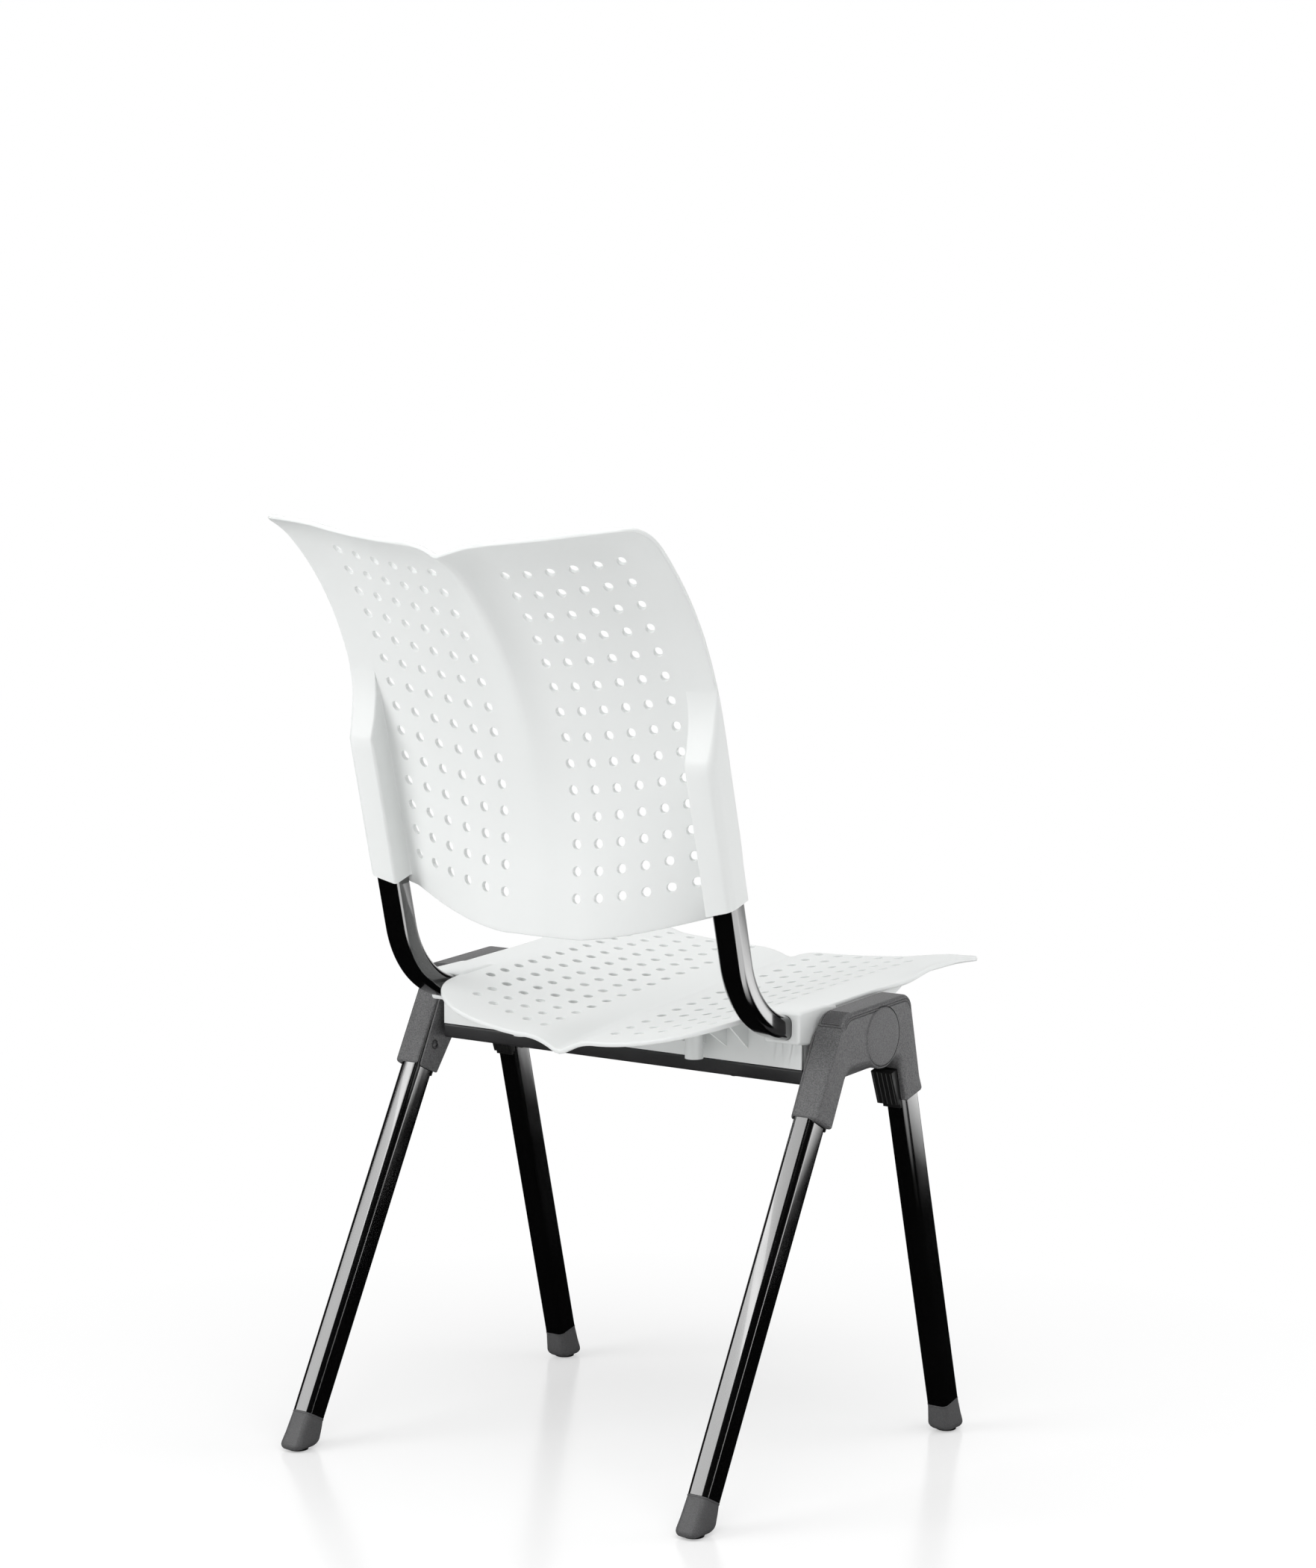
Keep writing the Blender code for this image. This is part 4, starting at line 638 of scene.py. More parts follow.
# %% The flat blank
RIM_RADIUS = 1.1 * MM


def blank_plate(name, outline, spacing):
    """Flat plate with a fine grid of points and a rounded rim; its outer face is at 0."""
    rim = inset(outline, RIM_RADIUS)
    low, high = rim.min(axis=0), rim.max(axis=0)
    grid = []
    rows = int((high[1] - low[1]) / spacing)
    for j in range(rows + 1):
        y = low[1] + (j + 0.5) * (high[1] - low[1]) / (rows + 1)
        columns = int(high[0] / spacing)
        for i in range(-columns, columns + 1):
            grid.append((i * spacing, y))
    grid = np.array(grid)
    grid = grid[inside(grid, inset(outline, RIM_RADIUS + 0.45 * spacing))]
    count = len(rim)
    points = [Vector(p) for p in rim] + [Vector(p) for p in grid]
    edges = [(i, (i + 1) % count) for i in range(count)]
    flat, _, faces = delaunay_2d_cdt(points, edges, [list(range(count))], 1, 1e-7)[:3]
    total = len(flat)
    verts = [(p[0], p[1], 0.0) for p in flat] + [(p[0], p[1], -SHELL_THICKNESS) for p in flat]
    made = [tuple(f) for f in faces] + [tuple(total + i for i in reversed(f)) for f in faces]
    turns = [30.0, 60.0, 90.0]
    levels = [(-RIM_RADIUS * (1.0 - math.sin(math.radians(a))),
               -RIM_RADIUS * (1.0 - math.cos(math.radians(a)))) for a in turns]
    levels.append((0.25 * MM, -SHELL_THICKNESS / 2.0))
    levels += [(out, -SHELL_THICKNESS - height) for out, height in reversed(levels[:3])]
    rings = [list(range(count))]
    for out, height in levels:
        ring = inset(outline, -out)
        rings.append(list(range(len(verts), len(verts) + count)))
        verts.extend([(p[0], p[1], height) for p in ring])
    rings.append([total + i for i in range(count)])
    for upper, lower in zip(rings[:-1], rings[1:]):
        for i in range(count):
            j = (i + 1) % count
            made.append((upper[i], lower[i], lower[j], upper[j]))
    mesh = bpy.data.meshes.new(name)
    mesh.from_pydata(verts, [], made)
    work = bmesh.new()
    work.from_mesh(mesh)
    bmesh.ops.recalc_face_normals(work, faces=work.faces)
    work.to_mesh(mesh)
    work.free()
    mesh.materials.append(SHELL)
    thing = bpy.data.objects.new(name, mesh)
    bpy.context.scene.collection.objects.link(thing)
    return thing


print("rim radius in mm:", round(RIM_RADIUS / MM, 2))


# %% Punch the holes
HOLE_RADIUS = 4.8 * MM
HOLE_EDGE = 0.45 * MM


def punch_tool():
    """One punch: straight in the middle and flared at both faces, for a broken edge."""
    flare = HOLE_EDGE + 2.0 * MM
    profile = [
        (HOLE_RADIUS + flare, 2.0 * MM),
        (HOLE_RADIUS, -HOLE_EDGE),
        (HOLE_RADIUS, -SHELL_THICKNESS + HOLE_EDGE),
        (HOLE_RADIUS + flare, -SHELL_THICKNESS - 2.0 * MM),
    ]
    verts, faces = turned(profile, (0.0, -DATUM_Y, 0.0), (0, 0, 1), 24)
    return solid("punch", verts, faces, SHELL)


def punch(plate, centres):
    """Run the punching tree over the flat plate."""
    spots = bpy.data.meshes.new("hole_centres")
    spots.from_pydata([(x, y, 0.0) for x, y in centres], [], [])
    marks = bpy.data.objects.new("hole_centres", spots)
    bpy.context.scene.collection.objects.link(marks)
    tool = punch_tool()
    step = plate.modifiers.new("holes", "NODES")
    step.node_group = PUNCHING
    step[PUNCHING_INPUTS["centres"]] = marks
    step[PUNCHING_INPUTS["punch"]] = tool
    step[PUNCHING_INPUTS["size"]] = 1.0
    step[PUNCHING_INPUTS["material"]] = SHELL
    settle(plate)
    bpy.data.objects.remove(marks)
    bpy.data.objects.remove(tool)
    return plate


print("hole radius in mm:", round(HOLE_RADIUS / MM, 2))


# %% Bend the sheet
def bend(plate, surface, scale, side):
    """Carry every point of the flat plate to the curved surface."""
    step = 0.6 * MM
    known = {}
    for vertex in plate.data.vertices:
        w, run, height = vertex.co
        key = (round(w, 7), round(run, 7))
        if key not in known:
            row = run / scale
            at = surface(w, row)
            along_w = surface(w + step, row) - surface(w - step, row)
            along_row = surface(w, row + step / scale) - surface(w, row - step / scale)
            normal = along_w.cross(along_row).normalized()
            if normal.dot(side) < 0.0:
                normal = -normal
            known[key] = (at, normal)
        at, normal = known[key]
        spot = at + normal * height
        vertex.co = (spot.x, spot.y + DATUM_Y, spot.z)
    work = bmesh.new()
    work.from_mesh(plate.data)
    bmesh.ops.remove_doubles(work, verts=work.verts, dist=0.02 * MM)
    bmesh.ops.recalc_face_normals(work, faces=work.faces)
    work.to_mesh(plate.data)
    work.free()
    plate.data.shade_smooth()
    plate.data.set_sharp_from_angle(angle=math.radians(28.0))
    return plate


print("sheet thickness in mm:", round(SHELL_THICKNESS / MM, 2))

# %% [markdown]
# ## The back shell
# The outline runs from the notch over the curled top edge, round the ear and down the side to
# the lower edge. Down the sheet the surface is measured in hole rows, so the outline is given
# in the same units and scaled. The two tube sleeves are lofted over the sheet's lower corners
# and joined to it, and then bored for the tubes.

# %% Back outline and sheet
BACK_HALF = 218.4
BACK_TOP = (
    (0.0, -1.02), (6.0, -1.13), (14.0, -1.36), (22.0, -1.6), (32.0, -1.88), (44.0, -2.1),
    (60.0, -2.27), (82.0, -2.34), (106.0, -2.28), (130.0, -2.2), (155.0, -2.16), (180.0, -1.92),
    (197.0, -1.68), (207.0, -1.55), (214.0, -1.36), (218.3, -1.05), (219.8, -0.68), (219.2, 0.0),
)
BACK_SIDE = tuple((BACK_HALF, float(row)) for row in range(1, 13))
BACK_LOW = (
    (217.4, 12.9), (214.6, 13.75), (208.0, 14.3), (196.0, 14.5), (180.0, 14.5), (150.0, 14.5),
    (115.0, 14.5), (81.0, 14.5), (56.0, 14.5), (28.0, 14.5), (0.0, 14.5),
)


def back_blank():
    corners = [(w * MM, -row * ROW_PITCH) for w, row in BACK_TOP + BACK_SIDE + BACK_LOW]
    outline = mirrored(smooth_line(corners, 4.0 * MM))
    return blank_plate("back_shell_moulded", outline, 6.2 * MM)


def back_holes():
    centres = []
    for column in range(6):
        for row in range(14):
            w = HOLE_FIRST + HOLE_PITCH * column
            centres.append((w, -row * ROW_PITCH))
            centres.append((-w, -row * ROW_PITCH))
    return centres


back = punch(back_blank(), back_holes())
back = bend(back, back_point, -ROW_PITCH, Vector((0.0, 1.0, -0.4)))
print("back sheet faces:", len(back.data.polygons), "holes:", len(back_holes()))

# %% [markdown]
# ## The tube sleeves
# Each sleeve is a half-round rib that covers the end of the back tube. Its outer corner has a
# large radius and its inner corner a small one. Above the tube's end the rib slopes down until
# it dies into the wing. The section is drawn once and lofted at many heights, and the mouth at
# the lower end is tipped a little.

# %% Sleeves
SLEEVE_OUT = 16.5 * MM
SLEEVE_IN = -16.5 * MM
SLEEVE_HALF = 16.0 * MM
SLEEVE_LOW_Z = 563.0 * MM
SLEEVE_FULL_Z = 704.0 * MM
SLEEVE_HIGH_Z = 782.0 * MM
OUTER_CORNER = 9.0 * MM
INNER_CORNER = 3.2 * MM
FOOT_FILLET = 3.0 * MM
MOUTH_LIFT = 4.3 * MM
MOUTH_RISE = 0.24
MOUTH_TILT = 0.31
MOUTH_FADE = 60.0 * MM
RAMP_EASE = 1.45


def back_row_at(w, z):
    low = 0.0
    high = 15.5
    for _ in range(30):
        middle = (low + high) / 2.0
        if back_point(w, middle).z > z:
            low = middle
        else:
            high = middle
    return (low + high) / 2.0


def sleeve_section(side, z):
    """Section of a sleeve at one height, from the outer edge over the rear to the inner foot."""
    fade = max(0.0, (z - SLEEVE_FULL_Z) / (SLEEVE_HIGH_Z - SLEEVE_FULL_Z))
    fade = 1.0 - (1.0 - fade) ** RAMP_EASE

    def sheet(u):
        w = TUBE_X + u
        return (back_point(w, back_row_at(w, z)).y - tube_line(z)) * math.cos(TUBE_LEAN)

    left = sheet(SLEEVE_IN - FOOT_FILLET)
    right = sheet(SLEEVE_OUT - 0.5 * MM)
    rise = 1.0 - fade

    def rear(u):
        share = (u - SLEEVE_IN) / (SLEEVE_OUT - SLEEVE_IN)
        ground = left + (right - left) * share
        return SLEEVE_HALF * rise + (ground - 1.0 * MM) * fade

    lift_out = rear(SLEEVE_OUT) - right
    lift_in = rear(SLEEVE_IN) - left
    corner_out = max(0.3 * MM, min(OUTER_CORNER * (1.0 - 0.7 * fade), lift_out * 0.8))
    corner_in = max(0.2 * MM, min(INNER_CORNER * (1.0 - 0.5 * fade), lift_in * 0.5))
    foot = max(0.2 * MM, min(FOOT_FILLET, lift_in * 0.4))
    under = SHELL_THICKNESS * 0.6
    points = [(SLEEVE_OUT - 1.2 * MM, right - under), (SLEEVE_OUT, right - under + 1.2 * MM)]
    for step in range(9):
        angle = step * math.pi / 16.0
        u = SLEEVE_OUT - corner_out + corner_out * math.cos(angle)
        points.append((u, rear(u) - corner_out + corner_out * math.sin(angle)))
    for step in range(7):
        angle = math.pi / 2.0 + step * math.pi / 12.0
        u = SLEEVE_IN + corner_in + corner_in * math.cos(angle)
        points.append((u, rear(u) - corner_in + corner_in * math.sin(angle)))
    for step in range(6):
        angle = step * math.pi / 10.0
        u = SLEEVE_IN - foot + foot * math.cos(angle)
        points.append((u, left + foot - foot * math.sin(angle) - 0.15 * MM))
    points.append((SLEEVE_IN - foot - 0.4 * MM, left - under))
    near_mouth = max(0.0, 1.0 - (z - SLEEVE_LOW_Z) / MOUTH_FADE)
    placed = []
    for u, v in points:
        high = z + (MOUTH_LIFT + MOUTH_RISE * u - MOUTH_TILT * v) * near_mouth
        placed.append((side * (TUBE_X + u), tube_line(high) + v / math.cos(TUBE_LEAN), high))
    return placed


def sleeve_levels():
    levels = [SLEEVE_LOW_Z, SLEEVE_LOW_Z + 1.0 * MM]
    for low, high in ((SLEEVE_LOW_Z, SLEEVE_FULL_Z), (SLEEVE_FULL_Z, SLEEVE_HIGH_Z)):
        levels += [low + (high - low) * i / 14.0 for i in range(1, 15)]
    return levels


TUBE_WIDTH = 28.0 * MM
TUBE_DEPTH = 23.0 * MM
TUBE_CORNER = 7.0 * MM
TUBE_WALL = 2.0 * MM
TUBE_TOP_Z = 700.0 * MM


def tube_bore(side):
    low, high = SLEEVE_LOW_Z - 40.0 * MM, TUBE_TOP_Z + GAP
    path = [(tube_line(low), low), (tube_line(high), high)]
    return loft(side_rings(path, grown(TUBE_WIDTH, TUBE_DEPTH, TUBE_CORNER, GAP), side * TUBE_X))


sleeves = [loft([sleeve_section(side, z) for z in sleeve_levels()]) for _, side in SIDES]
boolean(back, sleeves, "UNION", "MANIFOLD")
boolean(back, [tube_bore(side) for _, side in SIDES], "DIFFERENCE", "MANIFOLD")
back.data.set_sharp_from_angle(angle=math.radians(32.0))
dress(back, "carrier", "shell_plastic", "back_shell")

# %% [markdown]
# ## The seat shell
# The seat is the same kind of sheet: a flat blank with punched holes, bent to a dished surface
# with a soft keel and a rolled front edge. Underneath it carries a skirt, gussets, screw bosses
# and two boxed corners that grip the ends of the back tubes. These are plain solids joined to
# the sheet, which is how the mould makes them too.

# %% Seat surface and sheet
SEAT_HALF = 224.8 * MM
BOX_IN = 184.0 * MM
BOX_REAR_Y = 24.5 * MM
BOX_FRONT_Y = -22.0 * MM
BOX_LOW_Z = 427.0 * MM
BAR_TOP_Z = 400.0 * MM
SKIRT_Y = 10.5 * MM
SKIRT_THICKNESS = 3.5 * MM
SKIRT_HALF = 218.7 * MM


def held(value, low=0.0, high=1.0):
    return max(low, min(high, value))


def wing_lift(w, y):
    """The front corners of the seat curl up along their outer edge."""
    start = held((-155.0 * MM - y) / (50.0 * MM))
    end = held((-250.0 * MM - y) / (47.0 * MM))
    out = held((w - 196.0 * MM) / (35.0 * MM), 0.0, 1.2)
    return (8.0 * MM * start * start * (3.0 - 2.0 * start) - 4.0 * MM * end ** 1.5) * out ** 1.8


def seat_height(w, y):
    w = abs(w)
    u = max(0.0, min(w, 182.0 * MM) - HOLE_FIRST) / (125.6 * MM)
    wing = 20.8 * MM + 0.02 * y - 0.08 * y * y
    keel = 9.5 * MM + 5.0 * MM * held(y / (100.0 * MM))
    start = -288.0 * MM - 22.0 * MM * held((w - 140.0 * MM) / (50.0 * MM))
    roll = 6.0 * MM * held((start - y) / (17.0 * MM)) ** 2
    return (432.45 * MM - 0.0883 * y - 0.004 * y * y + wing * u ** 1.52
            - keel * keel_share(w) - roll + wing_lift(w, y))


def seat_point(w, y):
    return Vector((w, y, seat_height(w, y)))


SEAT_EDGE = (
    (0, 105.5), (25, 106.0), (60, 106.5), (100, 106.0), (130, 101.0), (150, 92.0), (165, 81.0),
    (177, 66.0), (184, 48.0), (187, 30.0), (188.5, 20.5), (205, 20.5), (219, 19.5), (224, 14.5),
    (224, -12), (224, -37), (224, -62), (224, -87), (224, -112), (226, -137), (228, -162),
    (230, -187), (231, -212), (231.5, -237), (231, -262), (229.5, -285), (224.5, -302),
    (214, -312), (199, -315), (180, -312), (158, -306.5), (132, -303.75), (106, -304.06),
    (81, -304.36), (56, -304.66), (28, -305), (0, -305.3),
)


def seat_holes():
    centres = []
    for column in range(6):
        rows = range(-4, 11) if column < 5 else range(-2, 10)
        for row in rows:
            w = HOLE_FIRST + 25.1 * MM * column
            first = (-30.6 - 2.2 * column - 0.3 * column * column) * MM
            y = first - (25.3 - 0.42 * column) * MM * row
            centres.extend([(w, y), (-w, y)])
    return centres


seat_outline = mirrored(smooth_line([(w * MM, y * MM) for w, y in SEAT_EDGE], 4.0 * MM))
seat = punch(blank_plate("seat_shell_moulded", seat_outline, 6.2 * MM), seat_holes())
seat = bend(seat, seat_point, 1.0, Vector((0.0, 0.0, 1.0)))
print("seat sheet faces:", len(seat.data.polygons), "holes:", len(seat_holes()))


# %% Walls and boxed corners under the seat
def bar_top(_):
    """The skirt and its returns reach down to the top of the crossbars."""
    return BAR_TOP_Z + GAP


def wall_bottom(y):
    """The outer walls get lower towards the front, and faster near their end."""
    return (440.0 * MM + max(0.0, -y - 95.0 * MM) * 0.19
            + max(0.0, -y - 138.0 * MM) * 0.30)


def under_strip(stations, thin_axis, low, high, bottom):
    """A wall that hangs from the middle of the seat sheet."""
    rings = []
    for a in stations:
        if thin_axis == "y":
            top = seat_height(a, (low + high) / 2.0) - SHELL_THICKNESS / 2.0
            rings.append([(a, low, bottom(a)), (a, high, bottom(a)), (a, high, top), (a, low, top)])
        else:
            top = seat_height((low + high) / 2.0, a) - SHELL_THICKNESS / 2.0
            rings.append([(low, a, bottom(a)), (high, a, bottom(a)), (high, a, top), (low, a, top)])
    return loft(rings)


def tube_path(top_z, end_y, steps=24):
    """Centre line of a back tube, from its top down to its end in the seat's corner."""
    bend_y, bend_z, radius = 97.5 * MM, 513.0 * MM, 95.0 * MM
    path = [(tube_line(top_z), top_z), (bend_y, bend_z)]
    for i in range(1, steps + 1):
        turn = TUBE_LEAN + (math.pi / 2.0 - TUBE_LEAN) * i / steps
        path.append((bend_y - radius * (math.cos(TUBE_LEAN) - math.cos(turn)),
                     bend_z - radius * (math.sin(turn) - math.sin(TUBE_LEAN))))
    path.append((end_y, path[-1][1]))
    return path


def corner_box(side):
    outline = [
        (BOX_REAR_Y, BOX_LOW_Z), (BOX_REAR_Y, 455.0 * MM), (BOX_REAR_Y - 0.9 * MM, 456.6 * MM),
        (BOX_REAR_Y - 2.6 * MM, 457.6 * MM), (BOX_REAR_Y - 7.0 * MM, 458.6 * MM),
        (BOX_FRONT_Y, 459.6 * MM),
        (BOX_FRONT_Y - 20.0 * MM,
         seat_height((SEAT_HALF + BOX_IN) / 2.0, BOX_FRONT_Y - 20.0 * MM) - 1.5 * MM),
        (BOX_FRONT_Y - 20.0 * MM, 442.0 * MM), (BOX_FRONT_Y, 424.0 * MM), (4.0 * MM, 424.0 * MM),
    ]
    box = solid("corner_box", *prism(outline, side * BOX_IN, side * SEAT_HALF), SHELL)
    ease(box, 3.2 * MM, 4, 50.0)
    verts = [(v.co.x, v.co.y - DATUM_Y, v.co.z) for v in box.data.vertices]
    faces = [tuple(p.vertices) for p in box.data.polygons]
    bpy.data.objects.remove(box)
    return verts, faces


print("tube path points:", len(tube_path(TUBE_TOP_Z, 0.0)))


# %% Skirt, gussets and bosses, joined to the sheet
SEAT_BOSSES = ((131.0, -3.5, 8.0), (106.0, -171.5, 8.0), (105.0, 27.0, 9.0))
SCREW_HOLE = 2.8 * MM


def boss_foot(y):
    """Bosses ahead of the skirt stand on the crossbars; those behind it end a little higher."""
    return BAR_TOP_Z + GAP if y < 10.5 else 402.0 * MM


def seat_additions():
    across = [w * MM for w in range(0, 217, 6)] + [SKIRT_HALF]
    across = [-w for w in reversed(across[1:])] + across
    added = [under_strip(across, "y", SKIRT_Y - SKIRT_THICKNESS, SKIRT_Y, bar_top)]
    for _, side in SIDES:
        added.append(corner_box(side))
        walls = [y * MM for y in range(-30, -176, -12)]
        added.append(under_strip(walls, "x", side * 219.5 * MM, side * 223.6 * MM,
                                 wall_bottom))
        returns = [y * MM for y in (8.5, -4.0, -16.0, -28.0, -40.0)]
        added.append(under_strip(returns, "x", side * (SKIRT_HALF - SKIRT_THICKNESS),
                                 side * SKIRT_HALF, bar_top))
        for i in range(5):
            x = side * (55.6 + 25.1 * i) * MM
            near = SKIRT_Y - 1.5 * MM
            reach = (62.0 - 4.0 * i) * MM
            half = SHELL_THICKNESS / 2.0
            triangle = [(near, 413.5 * MM)]
            for share in (0.0, 0.25, 0.5, 0.75, 1.0):
                y = near + (reach - near) * share
                triangle.append((y, seat_height(x, y) - half))
            added.append(prism(triangle, x - 1.1 * MM, x + 1.1 * MM))
        for x, y, radius in SEAT_BOSSES:
            low = boss_foot(y)
            high = seat_height(x * MM, y * MM) - SHELL_THICKNESS / 2.0
            added.append(turned([(radius * MM, 0.0), ((radius - 0.8) * MM, high - low)],
                                (side * x * MM, y * MM, low), (0, 0, 1), 32))
    return added


def seat_cuts():
    cuts = []
    for _, side in SIDES:
        for x, y, _ in SEAT_BOSSES:
            cuts.append(rod(SCREW_HOLE, -5.0 * MM, 17.0 * MM,
                            (side * x * MM, y * MM, boss_foot(y)), (0, 0, 1), 20))
        path = [p for p in tube_path(600.0 * MM, -8.3 * MM) if p[0] < 75.0 * MM]
        cuts.append(loft(side_rings(path, grown(TUBE_WIDTH, TUBE_DEPTH, TUBE_CORNER, GAP),
                                    side * TUBE_X)))
    return cuts


boolean(seat, seat_additions(), "UNION", "MANIFOLD")
boolean(seat, seat_cuts(), "DIFFERENCE", "MANIFOLD")
seat.data.set_sharp_from_angle(angle=math.radians(32.0))
dress(seat, "carrier", "shell_plastic", "seat_shell")

# %% [markdown]
# ## Tubes and legs
# All visible steel is one oval-cornered section, bent or cut and painted gloss black. A sweep
# of a hollow ring along the centre line gives both skins and both open ends at once, and a
# finely divided corner keeps the highlight of the lamp a clean band.

# %% Back tubes and legs
LEG_X = {"rear": 240.2 * MM, "front": 241.8 * MM}
LEG_FOOT = {"rear": 218.4 * MM, "front": -221.0 * MM}
LEG_SLOPE = {"rear": -0.5335, "front": 0.2494}
LEG_WIDTH = 23.5 * MM
LEG_DEPTH = 28.0 * MM
LEG_CORNER = 6.0 * MM
LEG_WALL = 1.8 * MM
LEG_TOP_Z = 397.0 * MM
LEG_SCREW_Z = 378.0 * MM
CAP_TOP_Z = 31.5 * MM
CAP_BOTTOM_Z = 2.0 * MM
BRACKET_IN = 228.5 * MM
BRACKET_OUT = 257.5 * MM


def leg_point(place, z):
    return LEG_FOOT[place] + LEG_SLOPE[place] * z


def leg_direction(place):
    return Vector((LEG_SLOPE[place], 1.0)).normalized()


def leg_path(place, low, high):
    return [(leg_point(place, low), low), (leg_point(place, high), high)]


def pipe(path, width, depth, corner, wall, x):
    """Sweep a hollow section along a path."""
    return open_tube(side_rings(path, rounded_rect(width, depth, corner), x),
                     side_rings(path, grown(width, depth, corner, -wall), x))


def leg_screw_hole(side, place, x):
    spot = (leg_point(place, LEG_SCREW_Z), LEG_SCREW_Z)
    return side_rod(side, SCREW_HOLE, x, 12.0 * MM, spot, 20)


for word, side in SIDES:
    body = pipe(tube_path(TUBE_TOP_Z, -8.0 * MM, 32), TUBE_WIDTH, TUBE_DEPTH, TUBE_CORNER,
                TUBE_WALL, side * TUBE_X)
    dress(solid("back_tube_%s_swept" % word, *body, TUBE, 50.0), "carrier", "tube_black",
          "back_tube_" + word)
    for place in PLACES:
        body = pipe(leg_path(place, CAP_TOP_Z + GAP, LEG_TOP_Z), LEG_WIDTH, LEG_DEPTH, LEG_CORNER,
                    LEG_WALL, side * LEG_X[place])
        leg = solid("%s_leg_%s_tube" % (place, word), *body, TUBE, 50.0)
        boolean(leg, [leg_screw_hole(side, place, BRACKET_IN - 2.0 * MM)], "DIFFERENCE")
        dress(leg, "base", "tube_black", "%s_leg_%s" % (place, word))

# %% [markdown]
# ## Foot caps and glides
# A cap plugs each leg. Its visible skin starts with a thin lip, widens a little towards
# the floor and turns under with a soft edge. Lofting level rings along the sloping leg keeps the
# underside flat on the floor. A round rubber glide sits in the middle.

# %% Foot caps and glides
def foot_cap(word, side, place):
    x = side * LEG_X[place]
    direction = leg_direction(place)
    across = Vector((-direction[1], direction[0]))
    top = Vector((leg_point(place, CAP_TOP_Z), CAP_TOP_Z))
    bore = 2.0 * (LEG_WALL + GAP)
    spigot = rounded_rect(LEG_WIDTH - bore, LEG_DEPTH - bore, LEG_CORNER - LEG_WALL)
    rings = []

    def square(outline, shift):
        spot = top + direction * shift
        rings.append([(x + u, spot[0] + across[0] * v, spot[1] + across[1] * v)
                      for u, v in outline])

    def level(by, z, corner):
        outline = rounded_rect(LEG_WIDTH + 2.0 * by, LEG_DEPTH + 2.0 * by, corner)
        y = leg_point(place, z)
        rings.append([(x + u, y - v / direction[1], z) for u, v in outline])

    square(spigot, 23.0 * MM)
    square(spigot, 0.0)
    square(grown(LEG_WIDTH, LEG_DEPTH, LEG_CORNER, 0.0), 0.0)
    for by, shift in ((0.25, -0.3), (0.35, -0.8), (0.3, -1.4), (-0.1, -1.7), (-0.1, -2.2),
                      (0.05, -2.6)):
        rings.append([(x + u, top[0] + direction[0] * shift * MM + across[0] * v,
                       top[1] + direction[1] * shift * MM + across[1] * v)
                      for u, v in rounded_rect(LEG_WIDTH + 2 * by * MM, LEG_DEPTH + 2 * by * MM,
                                               LEG_CORNER + by * MM)])
    low_z = top[1] - 9.0 * MM
    for share in (0.35, 0.7, 1.0):
        level((0.3 + 1.4 * share) * MM, low_z + (8.5 * MM - low_z) * share, LEG_CORNER + MM * share)
    for angle in (20, 40, 60, 80):
        turn = math.radians(angle)
        level((1.7 - 4.5 * (1.0 - math.cos(turn))) * MM,
              CAP_BOTTOM_Z + 6.5 * MM * (1.0 - math.sin(turn)), LEG_CORNER + 0.8 * MM)
    level(-3.2 * MM, CAP_BOTTOM_Z, LEG_CORNER - 0.5 * MM)
    cap = solid("%s_foot_cap_%s_moulded" % (place, word), *loft(rings), CAP, 40.0)
    hole = rod(3.3 * MM, -2.0 * MM, 9.0 * MM,
               (x, leg_point(place, CAP_BOTTOM_Z), CAP_BOTTOM_Z), (0, 0, 1), 24)
    return boolean(cap, [hole], "DIFFERENCE")


def glide(word, side, place):
    centre = (side * LEG_X[place], leg_point(place, CAP_BOTTOM_Z), 0.0)
    profile = [(radius * MM, height * MM) for radius, height in (
        (9.2, 0.0), (9.8, 0.3), (10.0, 0.8), (10.0, 1.5), (9.7, 1.7), (3.0, 1.7), (3.0, 9.6),
        (2.6, 10.0),
    )]
    return solid("%s_glide_%s_turned" % (place, word), *turned(profile, centre, (0, 0, 1), 48),
                 RUBBER)


for word, side in SIDES:
    for place in PLACES:
        dress(foot_cap(word, side, place), "base", "cap_grey", "%s_foot_cap_%s" % (place, word))
        dress(glide(word, side, place), "base", "insert_black", "%s_glide_%s" % (place, word))

# %% [markdown]
# ## The side brackets
# Each bracket is a moulded A-shaped casing with a socket for each leg. It starts as one outline
# carried from face to face, with rolled edges. The roll is wider along the top of the arch than
# elsewhere, so it comes from moved outlines: a bevel would have one width. Then the casing takes
# the same steps as the solid model: hub, cavity, bosses, sockets, clamp channels and the seat
# for the stacking pad. A double line runs just inside the top edge: two fine grooves with a bead
# between them.

# %% Bracket sizes and sockets
SOCKET_HALF = 15.3 * MM
SOCKET_Z = {"rear": 354.5 * MM, "front": 357.5 * MM}
ARCH_TOP_Z = 397.0 * MM
TOP_REAR_Z = 454.6 * MM
TOP_FRONT_Z = 461.1 * MM
TOP_REAR_RADIUS = 22.0 * MM
TOP_FRONT_RADIUS = 18.0 * MM
COVER_IN = 226.0 * MM
CLAMP_IN = 230.6 * MM
CLAMP_OUT = 250.6 * MM
PIVOT_Y = -72.5 * MM
PIVOT_Z = 425.0 * MM
PIVOT = (PIVOT_Y, PIVOT_Z)
HUB_RADIUS = 31.5 * MM
DISC_RADIUS = 29.0 * MM
PAD_X = 243.0 * MM
PAD_HALF = 10.5 * MM
ARCH_SIDE = {"rear": -1.0, "front": 1.0}
POSTS = {"front": (-108.0 * MM, 443.0 * MM), "rear": (-2.0 * MM, 412.0 * MM)}


def archward(place):
    """The way from a leg into the arch, square to the leg."""
    direction = leg_direction(place)
    return Vector((direction[1], -direction[0])) * ARCH_SIDE[place]


